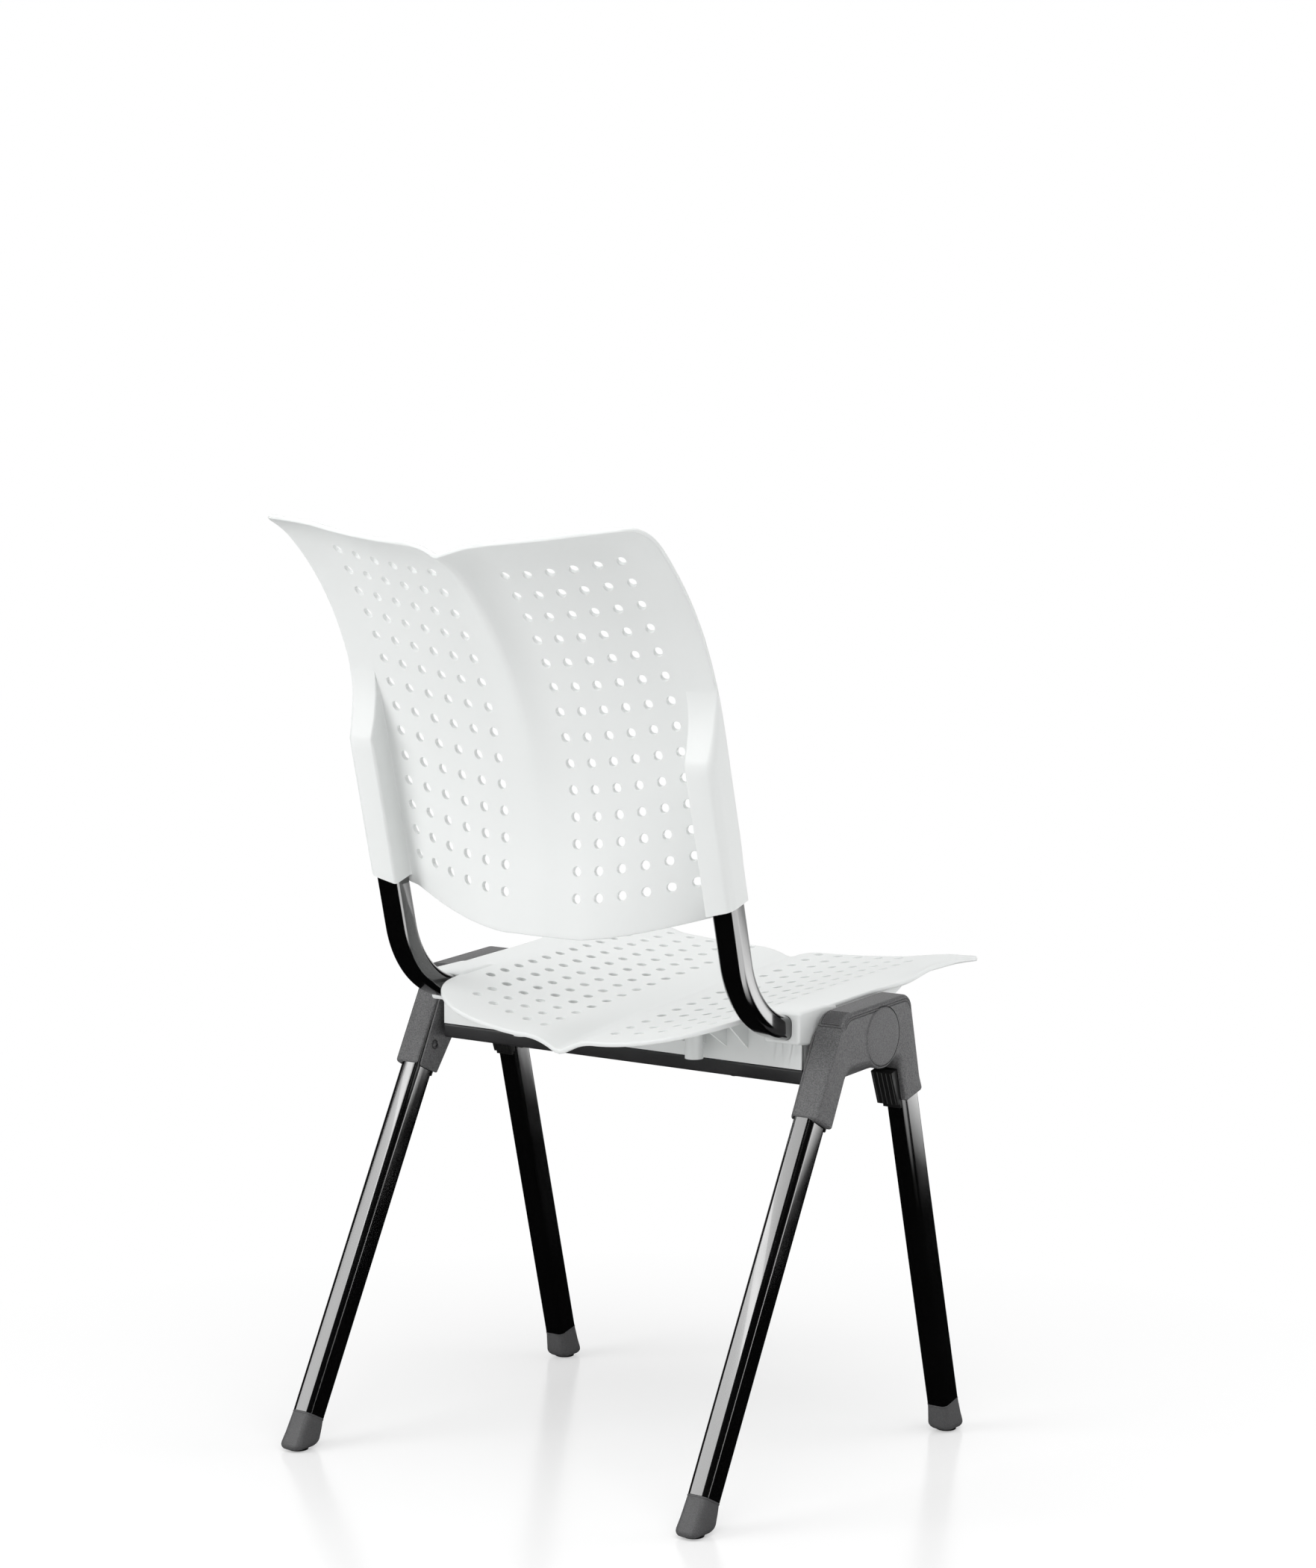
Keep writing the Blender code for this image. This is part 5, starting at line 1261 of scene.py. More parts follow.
def socket_point(place, along, across):
    """A point from the middle of a socket's mouth: up the leg, and into the arch."""
    centre = Vector((leg_point(place, SOCKET_Z[place]), SOCKET_Z[place]))
    return centre + leg_direction(place) * along + archward(place) * across


def socket_corners(place):
    """Rear and front corners of a socket's mouth, square to its leg."""
    rearward = ARCH_SIDE[place] * SOCKET_HALF
    return socket_point(place, 0.0, rearward), socket_point(place, 0.0, -rearward)


def along_leg(place, point, z):
    return point[0] + LEG_SLOPE[place] * (z - point[1])


REAR_BACK, REAR_ARCH = socket_corners("rear")
FRONT_ARCH, FRONT_FACE = socket_corners("front")
REAR_TOP = (along_leg("rear", REAR_BACK, TOP_REAR_Z), TOP_REAR_Z)
FRONT_TOP = (along_leg("front", FRONT_FACE, TOP_FRONT_Z - 0.8 * MM) - 2.7 * MM, TOP_FRONT_Z)
print("rear and front top corners in mm:",
      [round(v / MM, 1) for corner in (REAR_TOP, FRONT_TOP) for v in corner])


# %% Outline and rolled edges
EDGE_SOFT = 2.8 * MM
ARCH_SOFT_LOW = 5.5 * MM
ARCH_SOFT_HIGH = 9.0 * MM
FRONT_SOFT = 6.5 * MM
PARTING_Z = 435.5 * MM


def bracket_outline():
    corners = [
        (*REAR_BACK, 4.0 * MM),
        (*REAR_TOP, TOP_REAR_RADIUS),
        (*FRONT_TOP, TOP_FRONT_RADIUS),
        (along_leg("front", FRONT_FACE, 376.0 * MM) - 0.5 * MM, 376.0 * MM, 0.0),
        (*FRONT_FACE, 4.0 * MM),
        (*FRONT_ARCH, 3.0 * MM),
        (along_leg("front", FRONT_ARCH, ARCH_TOP_Z), ARCH_TOP_Z, 10.0 * MM),
        (along_leg("rear", REAR_ARCH, ARCH_TOP_Z - 4.0 * MM) - 3.0 * MM, ARCH_TOP_Z, 16.0 * MM),
        (*REAR_ARCH, 3.0 * MM),
    ]
    return rounded_outline(corners, 10)


def edge_radii():
    """The outer face rolls over tightly, but widely along the top of the arch."""
    rising = list(np.linspace(ARCH_SOFT_LOW, ARCH_SOFT_HIGH, 11))
    front = list(np.linspace(EDGE_SOFT, FRONT_SOFT, 11)) + [FRONT_SOFT]
    return np.array([EDGE_SOFT] * 22 + front + [3.6 * MM] * 11 + [EDGE_SOFT] * 11
                    + rising + rising[::-1] + [EDGE_SOFT] * 11)


def rolled_prism(outline, radii, low, high):
    """Extrude a YZ outline along X and roll over the edges of both of its faces."""
    outline = np.array(outline)
    way = 1.0 if high > low else -1.0
    rings = []
    for angle in (90.0, 67.5, 45.0, 22.5, 0.0):
        turn = math.radians(angle)
        x = low + way * EDGE_SOFT * (1.0 - math.sin(turn))
        rings.append([(x, y, z) for y, z in inset(outline, EDGE_SOFT * (1.0 - math.cos(turn)))])
    for angle in (0.0, 15.0, 30.0, 45.0, 60.0, 75.0, 90.0):
        turn = math.radians(angle)
        moved = inset(outline, (radii * (1.0 - math.cos(turn)))[:, None])
        depths = high - way * radii * (1.0 - math.sin(turn))
        rings.append([(x, y, z) for x, (y, z) in zip(depths, moved)])
    return loft(rings)


print("bracket outline points:", len(bracket_outline()))


# %% Cavity and cover outlines
def cavity_outline():
    wall = 4.3 * MM
    floor_z = 402.0 * MM
    corners = [
        (along_leg("front", FRONT_FACE, floor_z) + wall, floor_z, 3.0 * MM),
        (along_leg("rear", REAR_BACK, floor_z) - 5.0 * MM, floor_z, 3.0 * MM),
        (along_leg("rear", REAR_BACK, 438.0 * MM) - 5.5 * MM, 436.0 * MM, 8.0 * MM),
        (-24.0 * MM, 449.6 * MM, 6.0 * MM),
        (-104.0 * MM, 454.6 * MM, 8.0 * MM),
        (along_leg("front", FRONT_FACE, 446.0 * MM) + wall, 444.0 * MM, 6.0 * MM),
    ]
    return rounded_outline(corners, 5)


def cover_outline():
    inset_by = 1.5 * MM
    corners = [
        (REAR_BACK[0] - 2.0 * inset_by, REAR_BACK[1] - 2.0 * MM, 3.0 * MM),
        (along_leg("rear", REAR_BACK, 434.0 * MM) - inset_by, 434.0 * MM, 10.0 * MM),
        (-24.0 * MM, 453.0 * MM, 10.0 * MM),
        (-106.0 * MM, 458.0 * MM, 10.0 * MM),
        (along_leg("front", FRONT_FACE, 440.0 * MM) + inset_by, 440.0 * MM, 8.0 * MM),
        (FRONT_FACE[0] + inset_by, FRONT_FACE[1] - 8.0 * MM, 3.0 * MM),
        (-128.0 * MM, 352.5 * MM, 1.0 * MM),
        (-118.5 * MM, 355.5 * MM, 1.0 * MM),
        (-114.8 * MM, 370.0 * MM, 6.0 * MM),
        (-106.5 * MM, 388.0 * MM, 6.0 * MM),
        (-12.0 * MM, 383.0 * MM, 8.0 * MM),
        (14.0 * MM, 348.2 * MM, 2.0 * MM),
        (22.5 * MM, 351.8 * MM, 2.0 * MM),
    ]
    return rounded_outline(corners, 8)


print("cover outline points:", len(cover_outline()))


# %% Blocks, strips and lines that cut the casing
def leg_block(side, place, along, across, x_range):
    """A block square to the leg, from ranges up the leg, into the arch and along X."""
    corners = [tuple(socket_point(place, along[i], across[j]))
               for i, j in ((0, 0), (1, 0), (1, 1), (0, 1))]
    return prism(corners, side * x_range[0], side * x_range[1])


def corner_arc():
    """Centre and middle angle of the rounded rear top corner."""
    a = (Vector(REAR_BACK) - Vector(REAR_TOP)).normalized()
    b = (Vector((-130.0 * MM, TOP_FRONT_Z)) - Vector(REAR_TOP)).normalized()
    half = math.acos(a.dot(b)) / 2.0
    centre = Vector(REAR_TOP) + (a + b).normalized() * (TOP_REAR_RADIUS / math.sin(half))
    spoke = Vector(REAR_TOP) - centre
    return centre, math.degrees(math.atan2(spoke[1], spoke[0]))


def pad_strip(low, high, x_low, x_high, start, end, steps=28):
    centre, middle = corner_arc()
    inner = []
    outer = []
    for i in range(steps + 1):
        turn = math.radians(middle + start + (end - start) * i / steps)
        spoke = Vector((math.cos(turn), math.sin(turn)))
        inner.append(tuple(centre + spoke * low))
        outer.append(tuple(centre + spoke * high))
    return prism(inner + outer[::-1], x_low, x_high)


def edge_line(distance):
    """The top edge's outline moved inwards, from the rear arm over the top to the front."""
    outline = np.array(bracket_outline())
    moved = inset(outline, distance)
    keep = [tuple(p) for p in moved if p[1] > 412.0 * MM and (p[0] < 60.0 * MM)]
    middle = np.mean(moved, axis=0)
    keep.sort(key=lambda p: -math.atan2(p[1] - 405.0 * MM, p[0] - middle[0]))
    return keep


def wire_along(points, x, radius, sides=8):
    """A thin round wire through YZ points at one X."""
    turns = [2 * math.pi * i / sides for i in range(sides)]
    outline = [(radius * math.cos(turn), radius * math.sin(turn)) for turn in turns]
    return loft(side_rings(points, outline, x))


print("edge line points:", len(edge_line(4.0 * MM)))


# %% Bracket casings
def casing(word, side):
    body = solid("bracket_%s_moulded" % word,
                 *rolled_prism(bracket_outline(), edge_radii(), side * BRACKET_IN,
                               side * BRACKET_OUT), CASING, 30.0)
    depth = BRACKET_OUT - BRACKET_IN
    hub = turned([(HUB_RADIUS, 0.0), (HUB_RADIUS, depth - 1.4 * MM),
                  (HUB_RADIUS - 0.35 * MM, depth - 0.5 * MM), (HUB_RADIUS - 0.9 * MM, depth),
                  (HUB_RADIUS - 1.4 * MM, depth + 0.2 * MM)],
                 (side * (BRACKET_IN + 0.02 * MM), *PIVOT), (side, 0, 0), 96)
    boolean(body, [hub], "UNION")
    boolean(body, [prism(cavity_outline(), side * (BRACKET_IN - 5.0 * MM),
                         side * (BRACKET_OUT - 4.5 * MM))], "DIFFERENCE")
    posts = [side_rod(side, 20.0 * MM, 232.0 * MM, 22.0 * MM, PIVOT, 64)]
    posts += [side_rod(side, 4.5 * MM, BRACKET_IN + 0.01 * MM, 25.5 * MM, spot, 24)
              for spot in POSTS.values()]
    boolean(body, posts, "UNION")
    cuts = [side_rod(side, 14.3 * MM, 230.0 * MM, 19.0 * MM, PIVOT, 64),
            side_rod(side, DISC_RADIUS + 0.45 * MM, BRACKET_OUT - 3.0 * MM, 8.0 * MM, PIVOT, 96)]
    cuts += [side_rod(side, 1.8 * MM, BRACKET_IN - 3.0 * MM, 16.0 * MM, spot, 20)
             for spot in POSTS.values()]
    for place in PLACES:
        path = leg_path(place, SOCKET_Z[place] - 30.0 * MM, LEG_TOP_Z + GAP)
        cuts.append(loft(side_rings(path, grown(LEG_WIDTH, LEG_DEPTH, LEG_CORNER, GAP),
                                    side * LEG_X[place])))
    boolean(body, cuts, "DIFFERENCE")
    channels = [leg_block(side, place, (-20.0 * MM, 34.0 * MM), (-10.0 * MM, 30.0 * MM),
                          (CLAMP_IN - GAP, CLAMP_OUT + GAP)) for place in PLACES]
    channels.append(pad_strip(TOP_REAR_RADIUS - 2.2 * MM, TOP_REAR_RADIUS + 6.0 * MM,
                              side * (PAD_X - PAD_HALF - GAP), side * (PAD_X + PAD_HALF + GAP),
                              -26.0, 30.0))
    parting = (PARTING_Z - SOCKET_Z["rear"]) / leg_direction("rear")[1]
    channels.append(leg_block(side, "rear", (parting, parting + 0.7 * MM),
                              (-SOCKET_HALF - 4.0 * MM, -SOCKET_HALF + 0.6 * MM),
                              (BRACKET_IN - MM, BRACKET_OUT + MM)))
    boolean(body, channels, "DIFFERENCE")
    mouths = []
    for place in PLACES:
        high = (LEG_TOP_Z + GAP - SOCKET_Z[place]) / leg_direction(place)[1]
        half = LEG_DEPTH / 2.0 + GAP
        mouths.append(leg_block(side, place, (-30.0 * MM, high), (-half, half),
                                (BRACKET_IN - 4.0 * MM, LEG_X[place])))
    boolean(body, mouths, "DIFFERENCE")
    lines = [wire_along(edge_line(d * MM), side * BRACKET_OUT, r * MM)
             for d, r in ((4.0, 0.75), (6.3, 0.75))]
    boolean(body, lines, "DIFFERENCE")
    body.data.set_sharp_from_angle(angle=math.radians(32.0))
    return body


for word, side in SIDES:
    dress(casing(word, side), "base", "bracket_grey", "bracket_" + word)


# %% [markdown]
# ## Inner covers and hub discs
# A flat cover closes the inner face of each casing, and a round disc closes the hub outside.
# The disc stands a little proud, with a rounded edge and two tiny notches from its mould.

# %% Covers and discs
STRETCHER_Y = -111.0 * MM
STRETCHER_Z = 416.5 * MM


def cover(word, side):
    body = solid("bracket_cover_%s_moulded" % word,
                 *prism(cover_outline(), side * COVER_IN, side * (BRACKET_IN - GAP)), CASING)
    ease(body, 0.6 * MM, 2, 50.0)
    start = COVER_IN - 4.0 * MM
    cuts = [side_rod(side, 12.0 * MM, start, 12.0 * MM, PIVOT, 48)]
    cuts += [side_rod(side, 1.9 * MM, start, 12.0 * MM, spot, 20) for spot in POSTS.values()]
    slot = [(STRETCHER_Y + u, STRETCHER_Z + v)
            for u, v in rounded_rect(28.6 * MM, 14.6 * MM, 3.3 * MM)]
    cuts.append(prism(slot, side * start, side * (COVER_IN + 8.0 * MM)))
    cuts += [leg_screw_hole(side, place, start) for place in PLACES]
    return boolean(body, cuts, "DIFFERENCE")


def hub_disc(word, side):
    depth = 2.7 * MM
    profile = [(DISC_RADIUS, 0.0), (DISC_RADIUS, depth - 0.7 * MM),
               (DISC_RADIUS - 0.12 * MM, depth - 0.2 * MM)]
    profile += [(DISC_RADIUS - inwards * MM, depth + rise * MM) for inwards, rise in (
        (0.5, 0.2), (1.0, 0.45), (1.8, 0.6), (9.0, 0.75))]
    profile.append((4.0 * MM, depth + 0.8 * MM))
    body = solid("hub_disc_%s_moulded" % word,
                 *turned(profile, (side * (BRACKET_OUT - depth), *PIVOT), (side, 0, 0), 120),
                 CASING)
    notches = []
    for angle in (95.0, 150.0):
        turn = math.radians(angle)
        spot = (PIVOT_Y + (DISC_RADIUS - 0.2 * MM) * math.cos(turn),
                PIVOT_Z + (DISC_RADIUS - 0.2 * MM) * math.sin(turn))
        notches.append(rod(0.5 * MM, -4.0 * MM, 4.0 * MM, (side * BRACKET_OUT, *spot),
                           (side, 0, 0), 12))
    return boolean(body, notches, "DIFFERENCE")


for word, side in SIDES:
    dress(cover(word, side), "base", "bracket_grey", "bracket_cover_" + word)
    dress(hub_disc(word, side), "base", "bracket_grey", "hub_disc_" + word)

# %% [markdown]
# ## Things in rows: dots, ribs and screws
# The stacking pads carry rows of small dots, the clamps carry ribs, and the screws repeat too.
# One Geometry Nodes tree serves all of them. It stands an item on each point of a list, turns
# it along the direction stored with the point, and joins the result to the piece itself.

# %% Row tree
def row_tree():
    tree = bpy.data.node_groups.new("set_in_rows", "GeometryNodeTree")
    ids = {"base": input_socket(tree, "Base", "NodeSocketGeometry")}
    ids["points"] = input_socket(tree, "Points", "NodeSocketObject")
    ids["item"] = input_socket(tree, "Item", "NodeSocketObject")
    ids["size"] = input_socket(tree, "Item Size", "NodeSocketFloat", 1.0)
    ids["jitter"] = input_socket(tree, "Turn Jitter", "NodeSocketFloat", 0.0)
    ids["seed"] = input_socket(tree, "Seed", "NodeSocketInt", 3)
    ids["material"] = input_socket(tree, "Material", "NodeSocketMaterial")
    tree.interface.new_socket(name="Piece", in_out="OUTPUT", socket_type="NodeSocketGeometry")
    given = tree.nodes.new("NodeGroupInput").outputs
    points = add_node(tree, "GeometryNodeObjectInfo", {}, {"Object": given["Points"]})
    item = add_node(tree, "GeometryNodeObjectInfo", {}, {"Object": given["Item"]})
    axis = add_node(tree, "GeometryNodeInputNamedAttribute", {"data_type": "FLOAT_VECTOR"},
                    {"Name": "axis"})
    aim = add_node(tree, "FunctionNodeAlignRotationToVector", {"axis": "Z"},
                   {"Vector": axis.outputs[0]})
    jitter = add_node(tree, "FunctionNodeRandomValue", {"data_type": "FLOAT"},
                      {"Min": 0.0, "Max": given["Turn Jitter"], "Seed": given["Seed"]})
    own = add_node(tree, "ShaderNodeCombineXYZ", {}, {"Z": jitter.outputs[1]})
    spin = add_node(tree, "FunctionNodeEulerToRotation", {}, {0: own.outputs[0]})
    turn = add_node(tree, "FunctionNodeRotateRotation", {"rotation_space": "LOCAL"},
                    {0: aim.outputs[0], 1: spin.outputs[0]})
    spots = add_node(tree, "GeometryNodeInstanceOnPoints", {}, {
        "Points": points.outputs["Geometry"],
        "Instance": item.outputs["Geometry"],
        "Rotation": turn.outputs[0],
        "Scale": given["Item Size"],
    })
    joined = tree.nodes.new("GeometryNodeJoinGeometry")
    tree.links.new(given["Base"], joined.inputs[0])
    tree.links.new(spots.outputs[0], joined.inputs[0])
    real = add_node(tree, "GeometryNodeRealizeInstances", {}, {"Geometry": joined.outputs[0]})
    done = add_node(tree, "GeometryNodeSetMaterial", {}, {
        "Geometry": real.outputs[0], "Material": given["Material"],
    })
    tree.links.new(done.outputs[0], tree.nodes.new("NodeGroupOutput").inputs[0])
    return tree, ids


ROWS, ROW_INPUTS = row_tree()


def set_in_rows(base, spots, item, material, jitter=0.0, sharp=35.0):
    """Stand the item, drawn at the origin along Z, on each (point, axis)."""
    marks = bpy.data.meshes.new("marks")
    marks.from_pydata([(p[0], p[1] + DATUM_Y, p[2]) for p, _ in spots], [], [])
    field = marks.attributes.new("axis", "FLOAT_VECTOR", "POINT")
    field.data.foreach_set("vector", [c for _, axis in spots for c in axis])
    holder = bpy.data.objects.new("marks", marks)
    bpy.context.scene.collection.objects.link(holder)
    verts, faces = item
    tool = solid("item", [(v[0], v[1] - DATUM_Y, v[2]) for v in verts], faces, material, sharp)
    step = base.modifiers.new("rows", "NODES")
    step.node_group = ROWS
    step[ROW_INPUTS["points"]] = holder
    step[ROW_INPUTS["item"]] = tool
    step[ROW_INPUTS["size"]] = 1.0
    step[ROW_INPUTS["jitter"]] = jitter
    step[ROW_INPUTS["material"]] = material
    settle(base, sharp)
    bpy.data.objects.remove(holder)
    bpy.data.objects.remove(tool)
    return base


def empty_piece(name):
    thing = bpy.data.objects.new(name, bpy.data.meshes.new(name))
    bpy.context.scene.collection.objects.link(thing)
    return thing


print("row tree nodes:", len(ROWS.nodes))


# %% Stacking pads with dots
def stacking_pad(word, side):
    body = solid("stacking_pad_%s_moulded" % word,
                 *pad_strip(TOP_REAR_RADIUS - 1.9 * MM, TOP_REAR_RADIUS - 0.2 * MM,
                            side * (PAD_X - PAD_HALF), side * (PAD_X + PAD_HALF), -25.0, 29.0),
                 CAP)
    ease(body, 0.3 * MM, 2, 60.0)
    centre, middle = corner_arc()
    spots = []
    for i in range(11):
        turn = math.radians(middle - 22.5 + 4.9 * i)
        spoke = Vector((math.cos(turn), math.sin(turn)))
        at = centre + spoke * (TOP_REAR_RADIUS - 0.25 * MM)
        count = 10 if i % 2 else 11
        for k in range(count):
            x = side * (PAD_X + (k - (count - 1) / 2.0) * 1.82 * MM)
            spots.append(((x, *at), (0.0, *spoke)))
    dot = turned([(0.60 * MM, -0.2 * MM), (0.60 * MM, 0.15 * MM), (0.48 * MM, 0.42 * MM),
                  (0.22 * MM, 0.58 * MM)], (0, 0, 0), (0, 0, 1), 8)
    return set_in_rows(body, spots, dot, CAP)


# %% Leg clamps with ribs
CLAMP_TOP = 33.4 * MM
CLAMP_SHAPES = {
    "rear": (-3.0 * MM, 0.6 * MM, 15.6 * MM, 16.2 * MM),
    "front": (-7.0 * MM, 4.5 * MM, 21.5 * MM, 25.5 * MM),
}
RIB_SPOTS = {"rear": (1.2, 5.6, 10.0, 14.4, 18.8), "front": (-2.6, 2.4, 7.4, 12.4, 17.4)}


def clamp_and_shade_wedge(place, low, far_low, far_high):
    """The front clamp's wider part, outside the socket; partly painted shade."""
    near = SOCKET_HALF + 0.6 * MM
    return [tuple(socket_point(place, along, across)) for along, across in (
        (low, near), (CLAMP_TOP, near), (CLAMP_TOP, far_high), (low, far_low))]


def clamp(word, side, place):
    near = LEG_DEPTH / 2.0 + 2.0 * GAP
    low, step, far_low, far_high = CLAMP_SHAPES[place]
    corners = [socket_point(place, along, across) for along, across in (
        (low, near), (CLAMP_TOP, near), (CLAMP_TOP, far_high), (low + step, far_low),
        (low + step, (near + far_low) / 2.0), (low, (near + far_low) / 2.0),
    )]
    body = solid("%s_clamp_%s_moulded" % (place, word),
                 *prism([tuple(c) for c in corners], side * CLAMP_IN, side * CLAMP_OUT), INSERT)
    # A black wedge over the socket's arch side, which lies in shade: part real insert, part painted
    # shade.
    if place == "front":
        wide = clamp_and_shade_wedge(place, low + step, far_low, far_high)
        boolean(body, [prism(wide, side * (COVER_IN + 0.5 * MM),
                             side * (CLAMP_OUT - 0.5 * MM))], "UNION")
    ease(body, 0.3 * MM, 2, 60.0)
    rise = corners[2] - corners[3]
    start = corners[3] - archward(place) * (0.65 * MM)
    spots = [((side * (CLAMP_IN + shift * MM), *start), (0.0, *rise.normalized()))
             for shift in RIB_SPOTS[place]]
    rib = turned([(0.7 * MM, 0.3 * MM), (1.15 * MM, 0.8 * MM), (1.15 * MM, rise.length - 0.8 * MM),
                  (0.7 * MM, rise.length - 0.3 * MM)], (0, 0, 0), (0, 0, 1), 14)
    return set_in_rows(body, spots, rib, INSERT)


for word, side in SIDES:
    dress(stacking_pad(word, side), "base", "rubber_black", "stacking_pad_" + word)
    for place in PLACES:
        dress(clamp(word, side, place), "base", "insert_black", "%s_clamp_%s" % (place, word))


# %% Screws
def screw(head, shank, length, head_height):
    """A button head with a round socket, drawn along Z with its seat at zero."""
    dome = [(head * math.cos(math.radians(a)), -head_height * math.sin(math.radians(a)))
            for a in (0, 20, 40, 58)]
    profile = [(head * 0.46, -head_height * 0.25), (head * 0.46, -head_height * 0.88)]
    profile += dome[::-1]
    profile += [(head, -0.02 * MM), (shank, 0.0), (shank, length - 0.8 * MM),
                (shank * 0.7, length)]
    return turned(profile, (0, 0, 0), (0, 0, 1), 24)


SCREW_SETS = {
    "seat": ("carrier", screw(4.8 * MM, 2.5 * MM, 28.6 * MM, 2.6 * MM)),
    "leg": ("base", screw(4.8 * MM, 2.5 * MM, 10.0 * MM, 2.0 * MM)),
    "cover": ("base", screw(3.2 * MM, 1.5 * MM, 13.0 * MM, 0.6 * MM)),
}


def screw_spot(kind, side, place, boss):
    """Where a screw's head sits, and the way its shank points."""
    if kind == "seat":
        return (side * boss[0] * MM, boss[1] * MM, 385.1 * MM), (0.0, 0.0, 1.0)
    spot = POSTS[place] if kind == "cover" else (leg_point(place, LEG_SCREW_Z), LEG_SCREW_Z)
    return (side * (COVER_IN - GAP), *spot), (side, 0.0, 0.0)


for kind, (rides_on, item) in SCREW_SETS.items():
    names, spots = [], []
    for word, side in SIDES:
        for place, boss in zip(PLACES, SEAT_BOSSES):
            names.append("%s_%s_screw_%s" % (place, kind, word))
            spots.append(screw_spot(kind, side, place, boss))
    made = set_in_rows(empty_piece(kind + "_screws"), spots, item, SCREW, 6.0)
    dress(made, rides_on, "screw_black", *names)

# %% [markdown]
# ## The tilting frame under the seat
# Two box-section crossbars and two side rails carry the seat. An arm on each rail holds the
# pivot pin, and a spacer and a rubber torsion bush sit between the arm and the hub.

# %% Crossbars, rails, arms, pins and bushes
BAR_HALF = 219.0 * MM
BAR_HEIGHT = 14.6 * MM
BAR_DEPTH = 30.0 * MM
BAR_Y = {"rear": -5.0 * MM, "front": -171.5 * MM}
ARM_IN = 197.0 * MM
ARM_OUT = 212.0 * MM
ARM_RADIUS = 17.0 * MM
RAIL_X = 202.0 * MM
RAIL_WIDTH = 24.0 * MM
RAIL_HEIGHT = 18.5 * MM
BAR_WALL = 2.0 * MM
PIVOT_BORE = 8.3 * MM


def hollow_bar(name, ring, ends):
    """A box tube between two ends; ring(end, by) is its outline moved in by a distance."""
    return solid(name, *open_tube([ring(end, 0.0) for end in ends],
                                  [ring(end, BAR_WALL) for end in ends]), BAR, 40.0)


def cross_tube(name, half, y, z, depth, height, corner):
    def ring(x, by):
        outline = rounded_rect(depth - 2 * by, height - 2 * by, max(corner - by, 0.4 * MM), 5)
        return [(x, y + u, z + v) for u, v in outline]
    return hollow_bar(name, ring, (-half, half))


def rail(word, side):
    ends = (BAR_Y["rear"] - BAR_DEPTH / 2.0 - GAP, BAR_Y["front"] + BAR_DEPTH / 2.0 + GAP)

    def ring(y, by):
        outline = rounded_rect(RAIL_WIDTH - 2 * by, RAIL_HEIGHT - 2 * by, 3.0 * MM - by, 5)
        return [(side * RAIL_X + u, y, BAR_TOP_Z - RAIL_HEIGHT / 2.0 + v) for u, v in outline]
    return hollow_bar("side_rail_%s_tube" % word, ring, ends)


def arm(word, side):
    crown = []
    for i in range(33):
        turn = math.radians(-12.0 + 204.0 * i / 32)
        crown.append((PIVOT_Y + ARM_RADIUS * math.cos(turn), PIVOT_Z + ARM_RADIUS * math.sin(turn)))
    foot = [(PIVOT_Y - 25.0 * MM, BAR_TOP_Z + GAP), (PIVOT_Y + 25.0 * MM, BAR_TOP_Z + GAP)]
    body = solid("pivot_arm_%s_block" % word,
                 *prism(foot + crown, side * ARM_IN, side * ARM_OUT), BAR)
    ease(body, 0.8 * MM, 2, 60.0)
    bore = side_rod(side, PIVOT_BORE, ARM_IN - 5.0 * MM, 30.0 * MM, PIVOT, 48)
    return boolean(body, [bore], "DIFFERENCE")


def collar(name, side, outer, x_low, x_high, material):
    """A ring with a bore for the pivot pin and soft outer edges."""
    soft = 0.4 * MM
    profile = [(outer - soft, 0.0), (outer, soft), (outer, x_high - x_low - soft),
               (outer - soft, x_high - x_low), (PIVOT_BORE, x_high - x_low), (PIVOT_BORE, 0.0)]
    centre = Vector((side * x_low, *PIVOT))
    verts = []
    for radius, distance in profile:
        for i in range(48):
            turn = 2.0 * math.pi * i / 48
            verts.append((centre.x + side * distance, centre.y + radius * math.cos(turn),
                          centre.z + radius * math.sin(turn)))
    faces = []
    for level in range(len(profile)):
        low, high = level * 48, ((level + 1) % len(profile)) * 48
        for i in range(48):
            j = (i + 1) % 48
            faces.append((low + i, low + j, high + j, high + i))
    return solid(name, verts, faces, material)


def pin(word, side):
    start = ARM_IN - 3.0 * MM - GAP
    end = 248.5 * MM - start
    profile = [(11.4 * MM, 0.0), (12.0 * MM, 0.6 * MM), (12.0 * MM, 3.0 * MM), (8.0 * MM, 3.0 * MM),
               (8.0 * MM, end - 0.8 * MM), (7.2 * MM, end)]
    return solid("pivot_pin_%s_turned" % word,
                 *turned(profile, (side * start, *PIVOT), (side, 0, 0), 64), STEEL)


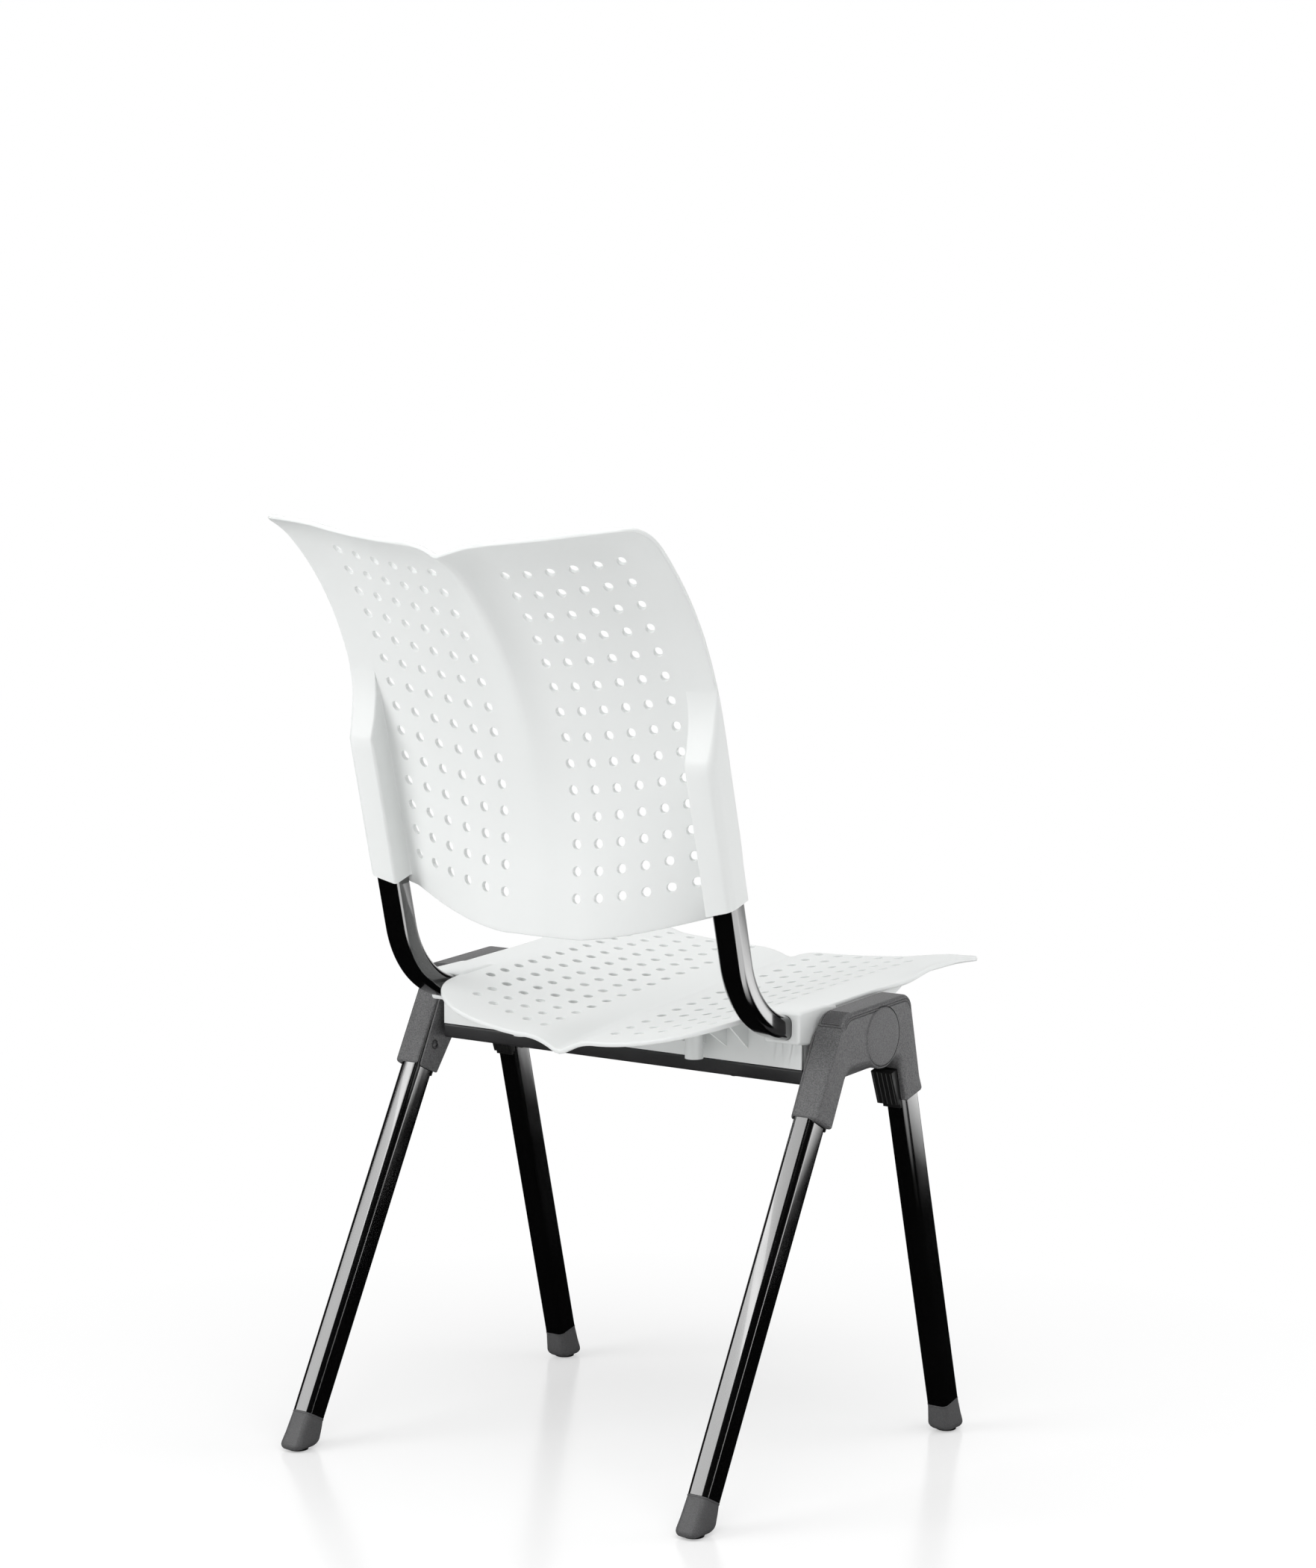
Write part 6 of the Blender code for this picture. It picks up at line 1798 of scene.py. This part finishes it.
bar_z = BAR_TOP_Z - BAR_HEIGHT / 2.0
for place, (x, y, _) in zip(PLACES, SEAT_BOSSES):
    bar = cross_tube(place + "_crossbar_tube", BAR_HALF, BAR_Y[place], bar_z, BAR_DEPTH,
                     BAR_HEIGHT, 2.5 * MM)
    holes = [rod(SCREW_HOLE, 0.0, 25.0 * MM, (side * x * MM, y * MM, 382.4 * MM), (0, 0, 1), 20)
             for side in (-1, 1)]
    dress(boolean(bar, holes, "DIFFERENCE"), "carrier", "bar_dark", place + "_crossbar")
dress(cross_tube("base_stretcher_tube", 246.0 * MM, STRETCHER_Y, STRETCHER_Z, 28.0 * MM,
                 14.0 * MM, 3.0 * MM), "base", "bar_dark", "base_stretcher")
for word, side in SIDES:
    dress(rail(word, side), "carrier", "bar_dark", "side_rail_" + word)
    dress(arm(word, side), "carrier", "bar_dark", "pivot_arm_" + word)
    dress(pin(word, side), "carrier", "pivot_steel", "pivot_pin_" + word)
    dress(collar("pivot_spacer_%s_ring" % word, side, 11.5 * MM, ARM_OUT + GAP, COVER_IN - GAP,
                 INSERT), "carrier", "insert_black", "pivot_spacer_" + word)
    dress(collar("torsion_bush_%s_ring" % word, side, 14.0 * MM, 232.3 * MM, 248.7 * MM, RUBBER),
          "base", "rubber_black", "torsion_bush_" + word)

# %% [markdown]
# ## The studio
# The photograph is a plain product shot: white all round, a faint soft shadow on the floor and
# long pale bands down the black tubes. Four soft lamps and an even sky light the chair, and the
# lamps on the left also give the wide bands on the rear legs. White for the camera comes from
# the world and, away from the chair, from the floor itself, so no extra light is thrown on the
# object. The tubes mirror a dim room that is white only behind the chair, because that is what
# keeps them black in the photograph. Their narrow bands are two bright cards on the floor that
# only mirrors see, one on the camera's side and one far off to the right.

# %% Floor
RIGHT = Vector((-0.81, -0.587, 0.0)).normalized()
TOWARDS = Vector((-0.587, 0.81, 0.0)).normalized()
FLOOR_AHEAD = 0.30
MIRRORED_FLOOR = 0.004
CARD_GLOW = 4.0


class Studio(Finish):
    """A floor that keeps its shadow near the chair and turns plain white further out."""

    def glow(self, strength):
        return self.node("ShaderNodeEmission", {}, {"Strength": strength})

    def either(self, factor, first, second):
        return self.node("ShaderNodeMixShader", {}, {0: factor, 1: first, 2: second})

    def fade_to_white(self, near, far, lift):
        """White for the camera from near to far, and cards on a dim floor for mirrors."""
        x = self.node("ShaderNodeSeparateXYZ", {}, {0: self.place})
        y = Wire(self, x.socket.node.outputs["Y"])
        ahead = x - TOWARDS.x * FLOOR_AHEAD
        beside = y - TOWARDS.y * FLOOR_AHEAD
        outside = self.band(ahead * ahead + beside * beside, near * near, far * far, lift, 1.0)
        seen = self.node("ShaderNodeLightPath", {}, {})
        floor_seen = self.either(outside * seen, self.shader.outputs[0], self.glow(1.0))
        right = x * RIGHT.x + y * RIGHT.y
        near_side = x * TOWARDS.x + y * TOWARDS.y
        front_card = self.band(right, 0.11, 0.15) * self.band(near_side, 0.45, 0.75)
        side_card = self.band(right, 1.5, 2.2)
        on_card = 1.0 - (1.0 - front_card) * (1.0 - side_card)
        on_card = on_card * self.band(x * x + y * y, 9.0, 16.0, 1.0, 0.2)
        floor_mirrored = self.either(on_card, self.glow(MIRRORED_FLOOR), self.glow(CARD_GLOW))
        glossy = seen.socket.node.outputs["Is Glossy Ray"]
        surface = self.either(glossy, floor_seen, floor_mirrored)
        self.tree.links.new(surface.socket, self.tree.nodes["Material Output"].inputs["Surface"])


floor_finish = Studio("studio_floor", (0.90, 0.90, 0.90), 0.20, specular=0.45)
cloud = floor_finish.noise(0.6, 2.0)
floor_finish.into("Roughness", floor_finish.band(cloud, 0.3, 0.7, 0.17, 0.22))
floor_finish.fade_to_white(0.50, 1.10, 0.40)
floor_mesh = bpy.data.meshes.new("floor")
floor_mesh.from_pydata([(-14, -22, 0), (14, -22, 0), (14, 12, 0), (-14, 12, 0)], [], [(0, 1, 2, 3)])
floor_mesh.materials.append(floor_finish.material)
floor = bpy.data.objects.new("floor", floor_mesh)
bpy.context.scene.collection.objects.link(floor)
print("floor nodes:", len(floor_finish.tree.nodes))


# %% Lamps and world
def lamp(name, spot, target, size, power):
    data = bpy.data.lights.new(name, "AREA")
    data.shape = "RECTANGLE"
    data.size = size[0]
    data.size_y = size[1]
    data.energy = power
    data.color = (1.0, 1.0, 1.0)
    thing = bpy.data.objects.new(name, data)
    thing.location = spot
    thing.rotation_euler = (Vector(target) - Vector(spot)).to_track_quat("-Z", "Y").to_euler()
    thing.visible_camera = False
    bpy.context.scene.collection.objects.link(thing)
    return thing


def studio_spot(right, near, up):
    """A place given by the photograph's own right, near and up."""
    return tuple(RIGHT * right + TOWARDS * near + Vector((0.0, 0.0, up)))


lamp("lamp_left", studio_spot(-2.1, 0.75, 1.15), (0, 0, 0.4), (1.5, 1.0), 17.5)
lamp("lamp_left_high", studio_spot(-2.1, 0.65, 1.98), (0, 0, 0.4), (1.3, 0.7), 9.0)
fill = lamp("lamp_right", studio_spot(1.25, -0.10, 0.52), (0, 0, 0.45), (0.6, 0.8), 2.6)
fill.visible_glossy = False
lamp("lamp_top", studio_spot(0.4, 1.2, 3.0), (0, 0, 0.3), (2.6, 2.6), 48.5)

world = bpy.data.worlds.new("studio")
bpy.context.scene.world = world
world.use_nodes = True
tree = world.node_tree
tree.nodes.clear()
rays = tree.nodes.new("ShaderNodeLightPath").outputs


def sky(strength):
    return add_node(tree, "ShaderNodeBackground", {},
                    {"Color": (1.0, 1.0, 1.0, 1.0), "Strength": strength}).outputs[0]


def choose(ray, otherwise, then):
    """One light for a kind of ray, and another for the rest."""
    return add_node(tree, "ShaderNodeMixShader", {},
                    {0: rays[ray], 1: otherwise, 2: then}).outputs[0]


BACKDROP = (-TOWARDS + Vector((0.0, 0.0, 0.15))).normalized()
direction = tree.nodes.new("ShaderNodeTexCoord").outputs["Generated"]
facing = add_node(tree, "ShaderNodeVectorMath", {"operation": "DOT_PRODUCT"},
                  {0: direction, 1: BACKDROP})
spread = add_node(tree, "ShaderNodeMapRange", {"interpolation_type": "SMOOTHSTEP"},
                  {0: facing.outputs["Value"], 1: 0.70, 2: 0.92, 3: 0.005, 4: 1.0})
room = choose("Is Glossy Ray", sky(0.56), sky(spread.outputs[0]))
room = choose("Is Transmission Ray", room, sky(1.0))
room = choose("Is Camera Ray", room, sky(1.0))
tree.links.new(room, tree.nodes.new("ShaderNodeOutputWorld").inputs["Surface"])

bpy.context.scene.view_settings.view_transform = "Standard"
